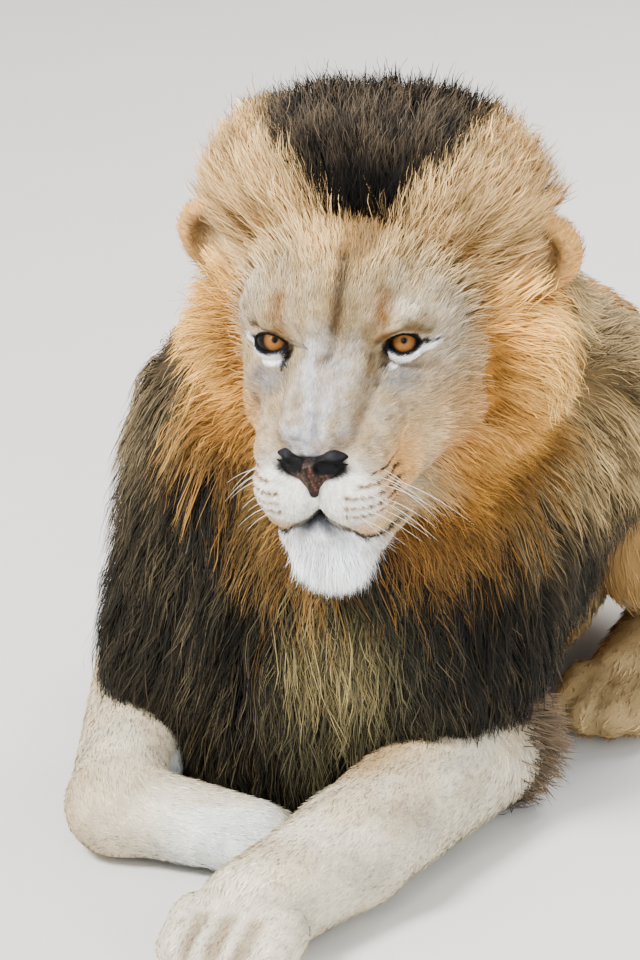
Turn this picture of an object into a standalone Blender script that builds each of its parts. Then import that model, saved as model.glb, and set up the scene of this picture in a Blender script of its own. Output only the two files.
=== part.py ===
"""An adult male lion lying on its chest with its head raised, life size.

The lion faces -Y with its left side towards +X. The left foreleg is stretched forward, the
right one is tucked with its paw folded across the chest. Each body region is built up from
balls and limbs at the outline of its coat, fused by a voxel remesh, smoothed and thinned out.
It is then parted from its neighbours by thin cuts, so that the nodes meet and never overlap.

Sizes in the tables are in centimetres and are turned into metres by CM.
"""

import math

import bmesh
import bpy
import numpy as np
from mathutils import Euler, Matrix, Vector

CM = 0.01
GAP = 0.0003  # metres between neighbouring nodes
SHARPEST = 0.3  # cosine past which a corner is grown no further
SIDES = {"left": 1.0, "right": -1.0}

# Driving dimensions of the head, from the point midway between the eyes.
EYE_MID = Vector((14.8, -26.4, 62.9))
HEAD_PITCH, HEAD_YAW, HEAD_ROLL = 12.0, 1.5, 3.0  # degrees: nose down, to the left, left side up
EYE_APART = 7.1  # from the midline to each eyeball's centre
EYE_RADIUS = 2.0
NOSE_AHEAD, NOSE_BELOW = 12.6, 8.2
CHEEK_OUT = 9.8
EAR_OUT, EAR_BEHIND, EAR_ABOVE = 18.6, 14.5, 4.6

# Driving points of the body.
SHOULDERS = Vector((5.0, 5.0, 40.0))
LOIN = Vector((8.0, 38.0, 32.0))
HIPS = Vector((10.0, 63.0, 26.5))
BELLY_HEIGHT = 17.0
LEFT_ELBOW, LEFT_WRIST, LEFT_TOES = Vector((24.4, -4, 8.1)), Vector((19.2, -35, 6.9)), Vector((13.8, -61.5, 5.0))
RIGHT_ELBOW, RIGHT_WRIST, RIGHT_TOES = Vector((-17.4, -2, 9)), Vector((-10.6, -31, 6)), Vector((6.8, -31.6, 4.8))
KNEE_OUT, KNEE_AHEAD, KNEE_HEIGHT = 22.5, 30.0, 24.0
HOCK_OUT, HOCK_AHEAD, HOCK_HEIGHT = 21.5, 4.0, 7.0
HIND_TOES_Y = 19.5
TAIL_LENGTH, TAIL_THICK = 76.0, 3.4


# ---- materials -------------------------------------------------------------------------------

COLOURS = {
    "tan_coat": (0.56, 0.39, 0.21, 1.0),
    "pale_coat": (0.74, 0.64, 0.50, 1.0),
    "golden_mane": (0.62, 0.36, 0.12, 1.0),
    "dark_mane": (0.045, 0.036, 0.028, 1.0),
    "nose_leather": (0.05, 0.032, 0.03, 1.0),
    "eye": (0.55, 0.30, 0.07, 1.0),
}
ROUGHNESS = {"nose_leather": 0.45, "eye": 0.08}


def material(name):
    found = bpy.data.materials.get(name)
    if found:
        return found
    made = bpy.data.materials.new(name)
    made.use_nodes = True
    shader = made.node_tree.nodes["Principled BSDF"]
    shader.inputs["Base Color"].default_value = COLOURS[name]
    shader.inputs["Roughness"].default_value = ROUGHNESS.get(name, 0.85)
    return made


# ---- tools -----------------------------------------------------------------------------------


def head_frame():
    """From head places (left, back, up) in centimetres to the lion's frame, in centimetres."""
    turn = Euler((math.radians(HEAD_PITCH), 0.0, 0.0)).to_matrix().to_4x4()
    roll = Euler((0.0, -math.radians(HEAD_ROLL), 0.0)).to_matrix().to_4x4()
    yaw = Euler((0.0, 0.0, math.radians(HEAD_YAW))).to_matrix().to_4x4()
    return Matrix.Translation(EYE_MID) @ yaw @ turn @ roll


HEAD = head_frame()
WORLD = Matrix.Identity(4)


def unit_ball():
    mesh = bmesh.new()
    bmesh.ops.create_uvsphere(mesh, u_segments=20, v_segments=12, radius=1.0)
    corners = np.array([vert.co for vert in mesh.verts])
    faces = [[vert.index for vert in face.verts] for face in mesh.faces]
    mesh.free()
    return corners, faces


BALL_CORNERS, BALL_FACES = unit_ball()


class Form:
    """A heap of overlapping balls, which fuse into one body."""

    def __init__(self, frame=WORLD):
        self.balls = []
        self.frame = frame

    def ball(self, centre, radii, turn=(0, 0, 0)):
        """centre is (left, ahead, up) under HEAD and (x, y, z) otherwise; turn is in degrees."""
        place = Matrix.Translation(self.at(centre))
        spin = Euler([math.radians(angle) for angle in turn]).to_matrix().to_4x4()
        size = Matrix.Diagonal((*radii, 1.0))
        self.balls.append(Matrix.Scale(CM, 4) @ self.frame @ place @ spin @ size)

    def at(self, point):
        point = Vector(point)
        return Vector((point.x, -point.y, point.z)) if self.frame is HEAD else point

    def limb(self, start, end, start_radius, end_radius):
        """A tapered limb with round ends."""
        start, end = Vector(start), Vector(end)
        steps = max(2, math.ceil((end - start).length / (0.3 * min(start_radius, end_radius))))
        for step in range(steps + 1):
            t = step / steps
            radius = start_radius + t * (end_radius - start_radius)
            self.ball(start.lerp(end, t), (radius, radius, radius))

    def pair(self, shape, places, *sizes, **more):
        """The same shape on both sides of the head."""
        for side in SIDES.values():
            shape(*[Vector((side * left, ahead, up)) for left, ahead, up in places], *sizes, **more)

    def to_mesh(self, name):
        corners = [BALL_CORNERS @ np.array(ball.to_3x3()).T + np.array(ball.translation) for ball in self.balls]
        step = len(BALL_CORNERS)
        faces = [[index + step * turn for index in face] for turn in range(len(self.balls)) for face in BALL_FACES]
        mesh = bpy.data.meshes.new(name)
        mesh.from_pydata(np.concatenate(corners).tolist(), [], faces)
        return mesh


def new_object(name, mesh):
    made = bpy.data.objects.new(name, mesh)
    bpy.context.scene.collection.objects.link(made)
    return made


def settle(piece):
    """Replaces the mesh by what its modifiers make of it."""
    graph = bpy.context.evaluated_depsgraph_get()
    made = bpy.data.meshes.new_from_object(piece.evaluated_get(graph))
    piece.modifiers.clear()
    old = piece.data
    piece.data = made
    bpy.data.meshes.remove(old)


def edit(piece, change):
    mesh = bmesh.new()
    mesh.from_mesh(piece.data)
    change(mesh)
    mesh.to_mesh(piece.data)
    mesh.free()


def cut_level(piece, height=0.0):
    """A flat underside at this height."""

    def change(mesh):
        geometry = mesh.verts[:] + mesh.edges[:] + mesh.faces[:]
        cut = bmesh.ops.bisect_plane(
            mesh, geom=geometry, plane_co=(0, 0, height), plane_no=(0, 0, -1), clear_outer=True,
        )["geom_cut"]
        rim = [item for item in cut if isinstance(item, bmesh.types.BMEdge)]
        bmesh.ops.holes_fill(mesh, edges=rim, sides=0)
        bmesh.ops.triangulate(mesh, faces=mesh.faces[:])

    edit(piece, change)


def fused(name, form, voxel, rounds, faces):
    """One body of about this many triangles from a form. voxel is in centimetres."""
    piece = new_object(name, form.to_mesh(name))
    remesh = piece.modifiers.new("fuse", "REMESH")
    remesh.mode = "VOXEL"
    remesh.voxel_size = voxel * CM
    smooth = piece.modifiers.new("smooth", "SMOOTH")
    smooth.factor = 0.5
    smooth.iterations = rounds
    settle(piece)
    thin = piece.modifiers.new("thin", "DECIMATE")
    thin.ratio = min(1.0, faces / (2.0 * len(piece.data.polygons)))
    settle(piece)
    cut_level(piece)
    return piece


def grown(piece, gap=GAP):
    """A hidden copy, each of whose faces stands proud by the gap."""
    copy = new_object(piece.name + "_grown", piece.data.copy())
    copy.hide_render = True
    copy.display_type = "WIRE"

    def change(mesh):
        mesh.normal_update()
        moves = []
        for vert in mesh.verts:
            least = min(vert.normal.dot(face.normal) for face in vert.link_faces)
            moves.append((vert, vert.normal * gap / max(least, SHARPEST)))
        for vert, move in moves:
            vert.co += move

    edit(copy, change)
    return copy


def combine(piece, other, operation):
    boolean = piece.modifiers.new("cut", "BOOLEAN")
    boolean.operation = operation
    boolean.object = other
    settle(piece)
    edit(piece, tidy)


def tidy(mesh):
    """Dissolves edges between faces that lie in one plane."""
    flat = math.radians(0.05)
    bmesh.ops.dissolve_limit(mesh, angle_limit=flat, verts=mesh.verts[:], edges=mesh.edges[:])


def volume_of(faces):
    total = 0.0
    for face in faces:
        corners = [vert.co for vert in face.verts]
        for second, third in zip(corners[1:-1], corners[2:], strict=True):
            total += corners[0].dot(second.cross(third))
    return total / 6.0


def drop_crumbs(piece):
    """Keeps the largest of the loose bodies."""

    def change(mesh):
        left = set(mesh.faces)
        bodies = []
        while left:
            queue = [left.pop()]
            body = set(queue)
            while queue:
                face = queue.pop()
                for edge in face.edges:
                    for near in edge.link_faces:
                        if near not in body:
                            body.add(near)
                            left.discard(near)
                            queue.append(near)
            bodies.append(body)
        kept = max(bodies, key=volume_of)
        spare = [face for body in bodies if body is not kept for face in body]
        bmesh.ops.delete(mesh, geom=spare, context="FACES")

    edit(piece, change)


def cut_by(piece, *neighbours):
    """Cuts the neighbours out of the piece, with the gap between them."""
    for neighbour in neighbours:
        cutter = grown(neighbour)
        combine(piece, cutter, "DIFFERENCE")
        bpy.data.objects.remove(cutter)
    drop_crumbs(piece)


def block(low, high, turn=0.0):
    """A hidden cutting block between two corners in centimetres, turned about Z at its middle."""
    mesh = bmesh.new()
    low, high = Vector(low), Vector(high)
    middle = Matrix.Translation((low + high) / 2 * CM)
    spin = Euler((0.0, 0.0, math.radians(turn))).to_matrix().to_4x4()
    size = Matrix.Diagonal((*((high - low) * CM), 1.0))
    bmesh.ops.create_cube(mesh, size=1.0, matrix=middle @ spin @ size)
    data = bpy.data.meshes.new("block")
    mesh.to_mesh(data)
    mesh.free()
    made = new_object("block", data)
    made.hide_render = True
    made.display_type = "WIRE"
    return made


def part_off(piece, name, cutter):
    """The share of the piece inside the cutter becomes a node of its own."""
    share = new_object(name, piece.data.copy())
    combine(share, cutter, "INTERSECT")
    drop_crumbs(share)
    wide = grown(cutter)
    combine(piece, wide, "DIFFERENCE")
    drop_crumbs(piece)
    bpy.data.objects.remove(wide)
    bpy.data.objects.remove(cutter)
    return share


def finish(piece, slot):
    piece.data.materials.clear()
    piece.data.materials.append(material(slot))
    piece.data.shade_smooth()
    piece.data.set_sharp_from_angle(angle=math.radians(50))


# ---- head ------------------------------------------------------------------------------------


def head_form():
    form = Form(HEAD)
    form.ball((0, -7.0, 3.4), (9.8, 10.0, 8.0))  # cranium
    form.ball((0, -0.8, 3.6), (7.6, 5.6, 5.4))  # forehead
    form.pair(form.ball, [(5.6, 0.6, 2.6)], (4.4, 3.0, 2.4))  # brows
    form.pair(form.ball, [(7.6, -4.6, 0.6)], (5.2, 5.2, 6.4))  # temples
    form.pair(form.limb, [(1.9, 1.5, 0.2), (1.9, 9.4, -5.2)], 3.5, 2.8)  # bridge of the nose
    form.pair(form.limb, [(7.4, -0.4, -4.6), (CHEEK_OUT, -8, -4.4)], 4.0, 4.6)  # cheekbones
    form.pair(form.ball, [(8.0, -6.5, -9.5)], (5.8, 7.0, 7.2))  # chewing muscles
    form.pair(form.limb, [(4.9, 0.6, -5.2), (4.4, 8.0, -8.8)], 4.6, 3.9)  # sides of the muzzle
    form.pair(form.limb, [(5.8, -1.5, -11.4), (4.4, 6.0, -12.6)], 5.0, 4.2)  # upper lips
    form.pair(form.ball, [(3.9, 8.4, -11.7)], (4.5, 4.7, 4.4))  # whisker pads
    form.ball((0, 10.2, -8.6), (3.6, 2.8, 3.4))  # tip of the muzzle
    form.ball((0, -6.5, -12), (8.5, 8.0, 7.0))  # throat
    return form


def jaw_form():
    form = Form(HEAD)
    form.pair(form.limb, [(5.6, -3.0, -16.2), (2.6, 6.2, -17.6)], 4.5, 3.8)
    form.ball((0, 7.0, -18.4), (5.4, 3.9, 4.2))  # chin
    form.ball((0, 6.4, -22.0), (4.2, 3.2, 3.8))  # tuft on the chin
    form.ball((0, -1.0, -17.4), (5.8, 7.0, 5.2))
    return form


def nose_form():
    form = Form(HEAD)
    form.ball((0, NOSE_AHEAD - 0.6, -NOSE_BELOW + 0.8), (3.8, 1.7, 1.6))
    form.pair(form.ball, [(2.9, NOSE_AHEAD - 1.0, -NOSE_BELOW + 0.4)], (2.0, 1.9, 1.6))  # wings
    form.ball((0, NOSE_AHEAD - 0.5, -NOSE_BELOW - 1.2), (2.0, 1.6, 2.4))  # the part between
    return form


def eye_form(side):
    form = Form(HEAD)
    form.ball((side * EYE_APART, 0.0, 0.0), (EYE_RADIUS,) * 3)
    return form


def eye_opening(side):
    """What the lids leave open, in front of the eye."""
    form = Form(HEAD)
    form.ball((side * (EYE_APART + 0.5), 3.2, -0.1), (2.5, 3.2, 1.7), turn=(0, side * 14, 0))
    return form


def ear_form(side):
    form = Form(HEAD)
    form.ball((side * EAR_OUT, -EAR_BEHIND, EAR_ABOVE), (5.6, 2.2, 5.4), turn=(0, 0, side * 12))
    form.limb((side * 10.5, -12.5, 3.5), (side * 15.0, -14.5, 4.2), 4.2, 4.0)
    return form


def ear_hollow(side):
    form = Form(HEAD)
    form.ball((side * (EAR_OUT - 0.4), -EAR_BEHIND + 2.0, EAR_ABOVE), (4.3, 2.2, 4.2), turn=(0, 0, side * 12))
    return form


def cut_back(head):
    """Takes off the back of the skull, which the neck holds."""
    low, high = EYE_MID + Vector((-30, 8.0, -40)), EYE_MID + Vector((30, 40, 40))
    spare = block(low, high)
    combine(head, spare, "DIFFERENCE")
    bpy.data.objects.remove(spare)


def whole_head():
    """Head, jaw and ears, each still whole, so that the body can be cut by them."""
    head = fused("head", head_form(), 0.8, 5, 1000)
    cut_back(head)
    jaw = fused("jaw", jaw_form(), 0.7, 5, 150)
    ears = [fused("ear_" + side, ear_form(sign), 0.6, 3, 150) for side, sign in SIDES.items()]
    return head, jaw, ears


def part_head(head, jaw, ears):
    """Opens the eyes and the ears, and sets the eyes, nose and jaw in the head."""
    cut_by(jaw, head)
    nose = fused("nose", nose_form(), 0.35, 3, 110)
    eyes = []
    for side, sign in SIDES.items():
        eye = fused("eye_" + side, eye_form(sign), 0.25, 1, 90)
        opening = fused("opening_" + side, eye_opening(sign), 0.3, 1, 60)
        combine(head, opening, "DIFFERENCE")
        bpy.data.objects.remove(opening)
        eyes.append(eye)
    for ear, sign in zip(ears, SIDES.values(), strict=True):
        cut_by(ear, head)
        hollow = fused("hollow", ear_hollow(sign), 0.5, 1, 50)
        combine(ear, hollow, "DIFFERENCE")
        bpy.data.objects.remove(hollow)
    cut_by(head, nose, *eyes)
    for piece in (head, jaw, *ears):
        finish(piece, "pale_coat")
    finish(nose, "nose_leather")
    for eye in eyes:
        finish(eye, "eye")


# ---- forelegs --------------------------------------------------------------------------------


def left_foreleg_form():
    form = Form()
    form.limb(LEFT_ELBOW, LEFT_WRIST, 8.3, 7.1)
    form.limb(LEFT_WRIST, LEFT_TOES + Vector((0, 9, 0.8)), 7.1, 6.4)
    for across in (-4.8, -1.7, 1.7, 4.8):
        forward = -1.0 if abs(across) < 2 else 1.2
        form.limb(LEFT_TOES + Vector((across, 6, 0.6)), LEFT_TOES + Vector((across, forward, -0.6)), 3.5, 3.2)
    form.limb(LEFT_ELBOW + Vector((2, 1, -1)), LEFT_ELBOW + Vector((4.0, 3, -5.0)), 5.0, 3.4)  # elbow tuft
    return form


def right_foreleg_form():
    form = Form()
    form.limb(RIGHT_ELBOW, RIGHT_WRIST, 8.0, 6.2)
    form.limb(RIGHT_WRIST, RIGHT_TOES, 5.9, 4.9)
    for across in (-3.0, 0.0, 3.0):
        form.limb(RIGHT_TOES + Vector((0, across, 0)), RIGHT_TOES + Vector((3.6, across * 0.9, -0.8)), 3.2, 2.8)
    return form


def whole_legs():
    left = fused("forearm_left", left_foreleg_form(), 1.1, 5, 360)
    right = fused("forearm_right", right_foreleg_form(), 1.1, 5, 300)
    cut_by(right, left)
    shanks = [fused("shank_" + side, shank_form(sign), 1.0, 5, 270) for side, sign in SIDES.items()]
    return [left, right, *shanks]


def part_legs(left, right, *shanks):
    start = LEFT_WRIST
    front = block((start.x - 15, start.y - 41, -5), (start.x + 15, start.y - 1, 15.4), -10.0)
    left_paw = part_off(left, "forepaw_left", front)
    start = RIGHT_WRIST
    front = block((start.x + 2, start.y - 15, -5), (start.x + 32, start.y + 15, 15.4))
    right_paw = part_off(right, "forepaw_right", front)
    for piece in (left, right, left_paw, right_paw):
        finish(piece, "pale_coat")
    for shank, (side, sign) in zip(shanks, SIDES.items(), strict=True):
        middle = HIPS.x + sign * HOCK_OUT
        low, high = (middle - 12, HIND_TOES_Y - 15, -5), (middle + 12, HIND_TOES_Y + 25, 9.6)
        foot = part_off(shank, "hind_foot_" + side, block(low, high))
        finish(foot, "tan_coat")
        finish(shank, "tan_coat")


# ---- trunk, hind legs and tail ---------------------------------------------------------------


def trunk_form():
    form = Form()
    chest_low = Vector((SHOULDERS.x, SHOULDERS.y, BELLY_HEIGHT))
    loin_low = Vector((LOIN.x, LOIN.y, BELLY_HEIGHT))
    hips_low = Vector((HIPS.x, HIPS.y - 9, BELLY_HEIGHT - 1))
    form.limb(SHOULDERS, LOIN, 19.5, 17.8)
    form.limb(LOIN, HIPS, 17.8, 15.0)
    form.limb(chest_low, loin_low, 17.5, 18.6)
    form.limb(loin_low, hips_low, 18.6, 16.5)
    form.ball(SHOULDERS + Vector((0, 2, 14)), (8, 13, 8))  # withers
    form.ball(HIPS + Vector((0, 5, 1)), (16.0, 15.0, 15.0))  # rump
    form.limb(SHOULDERS + Vector((2, -8, 8)), EYE_MID + Vector((-1, 12, -6)), 15.0, 12.0)  # neck
    for elbow, out in ((LEFT_ELBOW, 18.0), (RIGHT_ELBOW, -17.0)):
        shoulder = Vector((SHOULDERS.x + out, -12.0, 30.0))
        form.limb(shoulder + Vector((-0.1 * out, 22, 16)), shoulder, 8.0, 9.0)  # shoulder blade
        form.limb(shoulder, elbow + Vector((0, 0, 4)), 9.0, 7.8)  # upper arm
    for sign in SIDES.values():
        knee = Vector((HIPS.x + sign * KNEE_OUT, KNEE_AHEAD + 3, KNEE_HEIGHT))
        form.limb(HIPS + Vector((sign * 10.5, -1, -3.5)), knee, 14.6, 9.0)
    return form


def shank_form(side):
    form = Form()
    knee = Vector((HIPS.x + side * (KNEE_OUT + 1.5), KNEE_AHEAD + 2, KNEE_HEIGHT - 4))
    hock = Vector((HIPS.x + side * HOCK_OUT, HIPS.y - HOCK_AHEAD, HOCK_HEIGHT))
    toes = Vector((HIPS.x + side * (HOCK_OUT + 0.5), HIND_TOES_Y, 3.9))
    form.limb(knee, hock, 7.6, 4.6)
    form.limb(hock, toes + Vector((0, 9, 0.6)), 4.4, 4.8)
    for across in (-4.2, -1.5, 1.5, 4.2):
        forward = -1.0 if abs(across) < 2 else 1.0
        form.limb(toes + Vector((across, 7, 0.4)), toes + Vector((across, forward, -0.6)), 3.1, 2.8)
    return form


def tail_point(t):
    """The tail's middle line: down from the rump, then along the floor round the right side."""
    start = HIPS + Vector((-1, 18.5, -4))
    turn = math.radians(12 + 168 * t)
    reach = TAIL_LENGTH / math.radians(168)
    x = start.x - reach * (math.cos(math.radians(12)) - math.cos(turn))
    y = start.y + 0.42 * reach * (math.sin(turn) - math.sin(math.radians(12)))
    fall = max(0.0, 1.0 - t / 0.22)
    return Vector((x, y, TAIL_THICK * 0.8 + (start.z - TAIL_THICK) * fall * fall))


def tail_form(first, last, thick):
    form = Form()
    steps = 60
    for step in range(steps + 1):
        t = first + (last - first) * step / steps
        form.ball(tail_point(t), (thick(t),) * 3)
    return form


# ---- mane ------------------------------------------------------------------------------------


def add_halo(form):
    """The hair that stands round the face, up to the crest. Its places are head places."""
    form.frame = HEAD
    form.ball((8.2, -15, 11.4), (14.0, 10.0, 12.6))
    form.ball((-7.2, -15, 11.4), (14.0, 10.0, 12.6))
    form.ball((0.2, -15, 10.6), (15.0, 10.5, 14.2))
    form.ball((0.0, -22, 3.5), (16.0, 12.0, 13.0))  # behind the crest
    form.ball((-0.4, -31, -10.0), (19.0, 15.0, 14.0))
    form.pair(form.ball, [(5.2, -11.5, -6)], (18.2, 9.0, 14.6))
    form.ball((0, -11, -12), (15.0, 9.0, 13.5))
    form.frame = WORLD


def add_mane(form):
    form.limb((14, -8, 54), (7, 10, 42), 18.0, 19.0)  # neck
    form.limb((-4, -5, 46), (-9, -9, 17), 15.5, 13.0)  # right side
    form.limb((20, 1, 40), (20, -5, 22), 16.0, 14.0)  # left side
    form.limb((12, -14, 38), (5, -14, 14), 13.5, 13.0)  # chest
    form.limb((19, -12, 38), (17, -12, 20), 13.0, 12.0)  # before the left shoulder
    form.ball((5, -15, 8), (15, 9, 10))  # its lowest locks
    form.ball((24, 12, 43), (19, 18, 18))  # over the left shoulder
    form.ball((4, 12, 42), (26, 20, 19))  # over the right one
    form.ball((13, 14, 45), (21, 19, 17))  # between them
    form.ball((7, 12, 26), (27, 17, 20))


# ---- the whole, parted -------------------------------------------------------------------------


def part_thighs(body):
    thighs = []
    for side, sign in SIDES.items():
        near, far = sorted((LOIN.x + sign * 18.4, HIPS.x + sign * 50.0))
        thighs.append(part_off(body, "thigh_" + side, block((near, 31, -5), (far, 90, 42))))
    return thighs


def whole_tail():
    tail = fused("tail", tail_form(0.0, 0.86, lambda t: TAIL_THICK - 1.2 * t), 0.9, 3, 130)
    tuft_start = 0.84
    tuft = fused(
        "tail_tuft",
        tail_form(tuft_start, 1.0, lambda t: 2.4 + 2.0 * math.sin(math.pi * (t - tuft_start) / 0.18)),
        0.9, 3, 70,
    )
    cut_by(tail, tuft)
    finish(tail, "tan_coat")
    finish(tuft, "dark_mane")
    return tail


def whole_body(neighbours):
    """Trunk, neck and mane in one body, with the room that its neighbours take."""
    form = trunk_form()
    add_halo(form)
    add_mane(form)
    body = fused("trunk", form, 1.6, 6, 1320)
    cut_by(body, *neighbours)
    return body


def part_body(body):
    thighs = part_thighs(body)
    rump = part_off(body, "rump", block((-30, 56, -5), (50, 110, 80)))
    top = block((-60, -80, EYE_MID.z + 9), (90, 60, 130))
    crest = part_off(body, "mane_crest", top)
    ruff = part_off(body, "mane_ruff", block((-60, -80, 40), (90, -4, 130)))
    neck = part_off(body, "neck", block((-60, -80, 46), (90, 30, 130)))
    chest = part_off(body, "chest", block((-60, -80, -5), (90, -4, 80)))
    shoulders = part_off(body, "shoulders", block((-60, -80, -5), (90, 30, 130)))
    for piece in (body, rump, *thighs):
        finish(piece, "tan_coat")
    for piece in (crest, ruff):
        finish(piece, "golden_mane")
    for piece in (neck, chest, shoulders):
        finish(piece, "dark_mane")


def place_on_origin():
    """The floor under the middle of the whole model becomes the origin."""
    nodes = [item for item in bpy.context.scene.collection.objects if not item.hide_render]
    corners = [vert.co for item in nodes for vert in item.data.vertices]
    low = [min(corner[axis] for corner in corners) for axis in range(3)]
    high = [max(corner[axis] for corner in corners) for axis in range(3)]
    middle = Vector(((low[0] + high[0]) / 2, (low[1] + high[1]) / 2, low[2]))
    for item in nodes:
        item.data.transform(Matrix.Translation(-middle))


def main():
    for old in list(bpy.data.objects):
        bpy.data.objects.remove(old)
    head, jaw, ears = whole_head()
    legs = whole_legs()
    body = whole_body([head, jaw, *ears, *legs, whole_tail()])
    part_head(head, jaw, ears)
    part_legs(*legs)
    part_body(body)
    place_on_origin()


main()
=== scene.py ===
"""Looks of the lion: one skin, eyes, nose, whiskers, and a coat of mesh tufts and locks.

The forms repeat the part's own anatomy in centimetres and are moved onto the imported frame, whose
left eye says where the head is. Soft forms are written as distance fields that blend into each
other, and their surface is taken off a fine grid.
"""

import math

import bpy
import numpy as np
from mathutils import Euler, Matrix, Vector


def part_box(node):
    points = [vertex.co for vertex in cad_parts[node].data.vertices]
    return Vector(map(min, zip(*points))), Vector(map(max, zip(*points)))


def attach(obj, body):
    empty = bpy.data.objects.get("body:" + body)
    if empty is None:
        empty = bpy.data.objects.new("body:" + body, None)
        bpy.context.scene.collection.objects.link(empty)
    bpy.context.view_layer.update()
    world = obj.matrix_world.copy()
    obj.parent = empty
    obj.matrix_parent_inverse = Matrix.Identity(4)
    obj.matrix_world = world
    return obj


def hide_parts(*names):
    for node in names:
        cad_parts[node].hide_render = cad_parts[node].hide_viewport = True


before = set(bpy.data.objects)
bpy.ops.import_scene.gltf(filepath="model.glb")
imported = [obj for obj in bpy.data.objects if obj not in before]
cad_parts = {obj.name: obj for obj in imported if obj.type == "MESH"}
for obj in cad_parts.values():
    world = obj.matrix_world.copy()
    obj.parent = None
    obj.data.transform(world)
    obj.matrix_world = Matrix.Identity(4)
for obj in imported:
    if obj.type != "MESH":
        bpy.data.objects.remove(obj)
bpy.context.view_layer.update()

CM = 0.01
RNG = np.random.default_rng(11)
BOTH = (1.0, -1.0)  # the left side and the right side
FLOOR_GAP = 0.06  # how far skin and fur stay above the floor, in centimetres

# ---- the part's driving points, in centimetres -------------------------------------------------

EYE_MID = Vector((14.8, -26.4, 62.9))
HEAD_PITCH, HEAD_YAW, HEAD_ROLL = 12.0, 1.5, 3.0
EYE_APART, EYE_RADIUS = 7.1, 2.0
NOSE_AHEAD, NOSE_BELOW = 12.6, 8.2
EAR_OUT, EAR_BEHIND, EAR_ABOVE = 18.6, 14.5, 4.6
SHOULDERS, LOIN, HIPS = Vector((5, 5, 40)), Vector((8, 38, 32)), Vector((10, 63, 26.5))
BELLY_HEIGHT = 17.0
LEFT_ELBOW, LEFT_WRIST = Vector((24.4, -4, 8.1)), Vector((19.2, -35, 6.9))
RIGHT_ELBOW, RIGHT_WRIST = Vector((-17.4, -2, 9)), Vector((-10.6, -31, 6))
LEFT_TOES, RIGHT_TOES = Vector((13.8, -61.5, 5.0)), Vector((6.8, -31.6, 4.8))
TOE_GAPS = (-3.2, 0.0, 3.2)  # where the grooves between the left toes run
KNEE_OUT, KNEE_AHEAD, KNEE_HEIGHT = 22.5, 30.0, 24.0
HOCK_OUT, HOCK_AHEAD, HOCK_HEIGHT = 21.5, 4.0, 7.0
HIND_TOES_Y = 19.5
TAIL_LENGTH, TAIL_THICK = 76.0, 3.4


def off(point, *move):
    """A place this far from a point."""
    return point + Vector(move)


def head_frame():
    """From head places (left, back, up) to the lion's own frame, both in centimetres."""
    pitch = Euler((math.radians(HEAD_PITCH), 0, 0)).to_matrix().to_4x4()
    roll = Euler((0, -math.radians(HEAD_ROLL), 0)).to_matrix().to_4x4()
    yaw = Euler((0, 0, math.radians(HEAD_YAW))).to_matrix().to_4x4()
    return np.array(Matrix.Translation(EYE_MID) @ yaw @ pitch @ roll)


HEAD = head_frame()
HEAD_TURN, TO_HEAD = HEAD[:3, :3], np.linalg.inv(HEAD)


def in_head(points):
    return np.asarray(points) @ TO_HEAD[:3, :3].T + TO_HEAD[:3, 3]


def out_of_head(points):
    return np.asarray(points) @ HEAD_TURN.T + HEAD[:3, 3]


def to_packed():
    """What moves the lion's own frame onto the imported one, found from the left eye."""
    low, high = (np.array(corner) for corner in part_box("eye_left"))
    return (low + high) / 2 - out_of_head((EYE_APART, 0, 0)) * CM


SHIFT = to_packed()


def packed(points):
    return np.asarray(points) * CM + SHIFT


# ---- numbers -----------------------------------------------------------------------------------


def ramp(value, low, high):
    t = np.clip((value - low) / (high - low), 0, 1)
    return t * t * (3 - 2 * t)


def mix(a, b, share):
    return a + (b - a) * share


def unit(vectors):
    return vectors / (np.linalg.norm(vectors, axis=-1, keepdims=True) + 1e-9)


def ripple(points, size, seed):
    """A cheap smooth noise from -1 to 1: waves of about this size, in centimetres."""
    own = np.random.default_rng(seed)
    total = np.zeros(points.shape[:-1])
    for _ in range(7):
        way = own.normal(size=3)
        way *= 2 * math.pi / (size * own.uniform(0.7, 1.6) * np.linalg.norm(way))
        total += np.sin(points @ way + own.uniform(0, 2 * math.pi))
    return np.clip(total / 3.2, -1, 1)


def near(points, centre, radii, soft=0.5):
    """1 inside a ball-shaped place, easing to 0 outside."""
    far = np.linalg.norm((points - np.array(centre)) / np.array(radii), axis=-1)
    return 1 - ramp(far, 1 - soft, 1 + soft)


def from_line(points, start, end):
    """Distance from the line between two places."""
    a, b = np.array(start, float), np.array(end, float)
    t = np.clip((points - a) @ (b - a) / ((b - a) @ (b - a)), 0, 1)
    return np.linalg.norm(points - (a + t[..., None] * (b - a)), axis=-1)


def near_line(points, start, end, wide, soft=0.5):
    return 1 - ramp(from_line(points, start, end) / wide, 1 - soft, 1 + soft)


def polyline(points, spots, wide, soft=0.5):
    """1 along a line through these spots, easing to 0 beside it."""
    return np.max([near_line(points, a, b, wide, soft) for a, b in zip(spots, spots[1:])], axis=0)


# ---- distance fields ---------------------------------------------------------------------------


class Shape:
    """A shape to add to or take from a field: its reach, and its distance function."""

    def __init__(self, centre, reach, distance, blend, sign=1):
        self.centre, self.reach, self.distance = np.array(centre, float), reach, distance
        self.blend, self.sign = blend, sign


def ball(centre, radii, turn=(0, 0, 0), blend=1.2, sign=1, spin=None):
    """An egg shape, turned by these degrees or by a matrix."""
    radii = np.array(radii, np.float32) if np.ndim(radii) else np.full(3, radii, np.float32)
    middle = np.array(centre, np.float32)
    if any(turn):
        spin = np.array(Euler([math.radians(angle) for angle in turn]).to_matrix(), np.float32)

    def distance(points):
        local = points - middle
        local = (local if spin is None else local @ spin) / radii
        first = np.sqrt((local * local).sum(-1)) + 1e-6
        second = np.sqrt(((local / radii) ** 2).sum(-1)) + 1e-6
        return first * (first - 1) / second

    return Shape(centre, float(radii.max()), distance, blend, sign)


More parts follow.
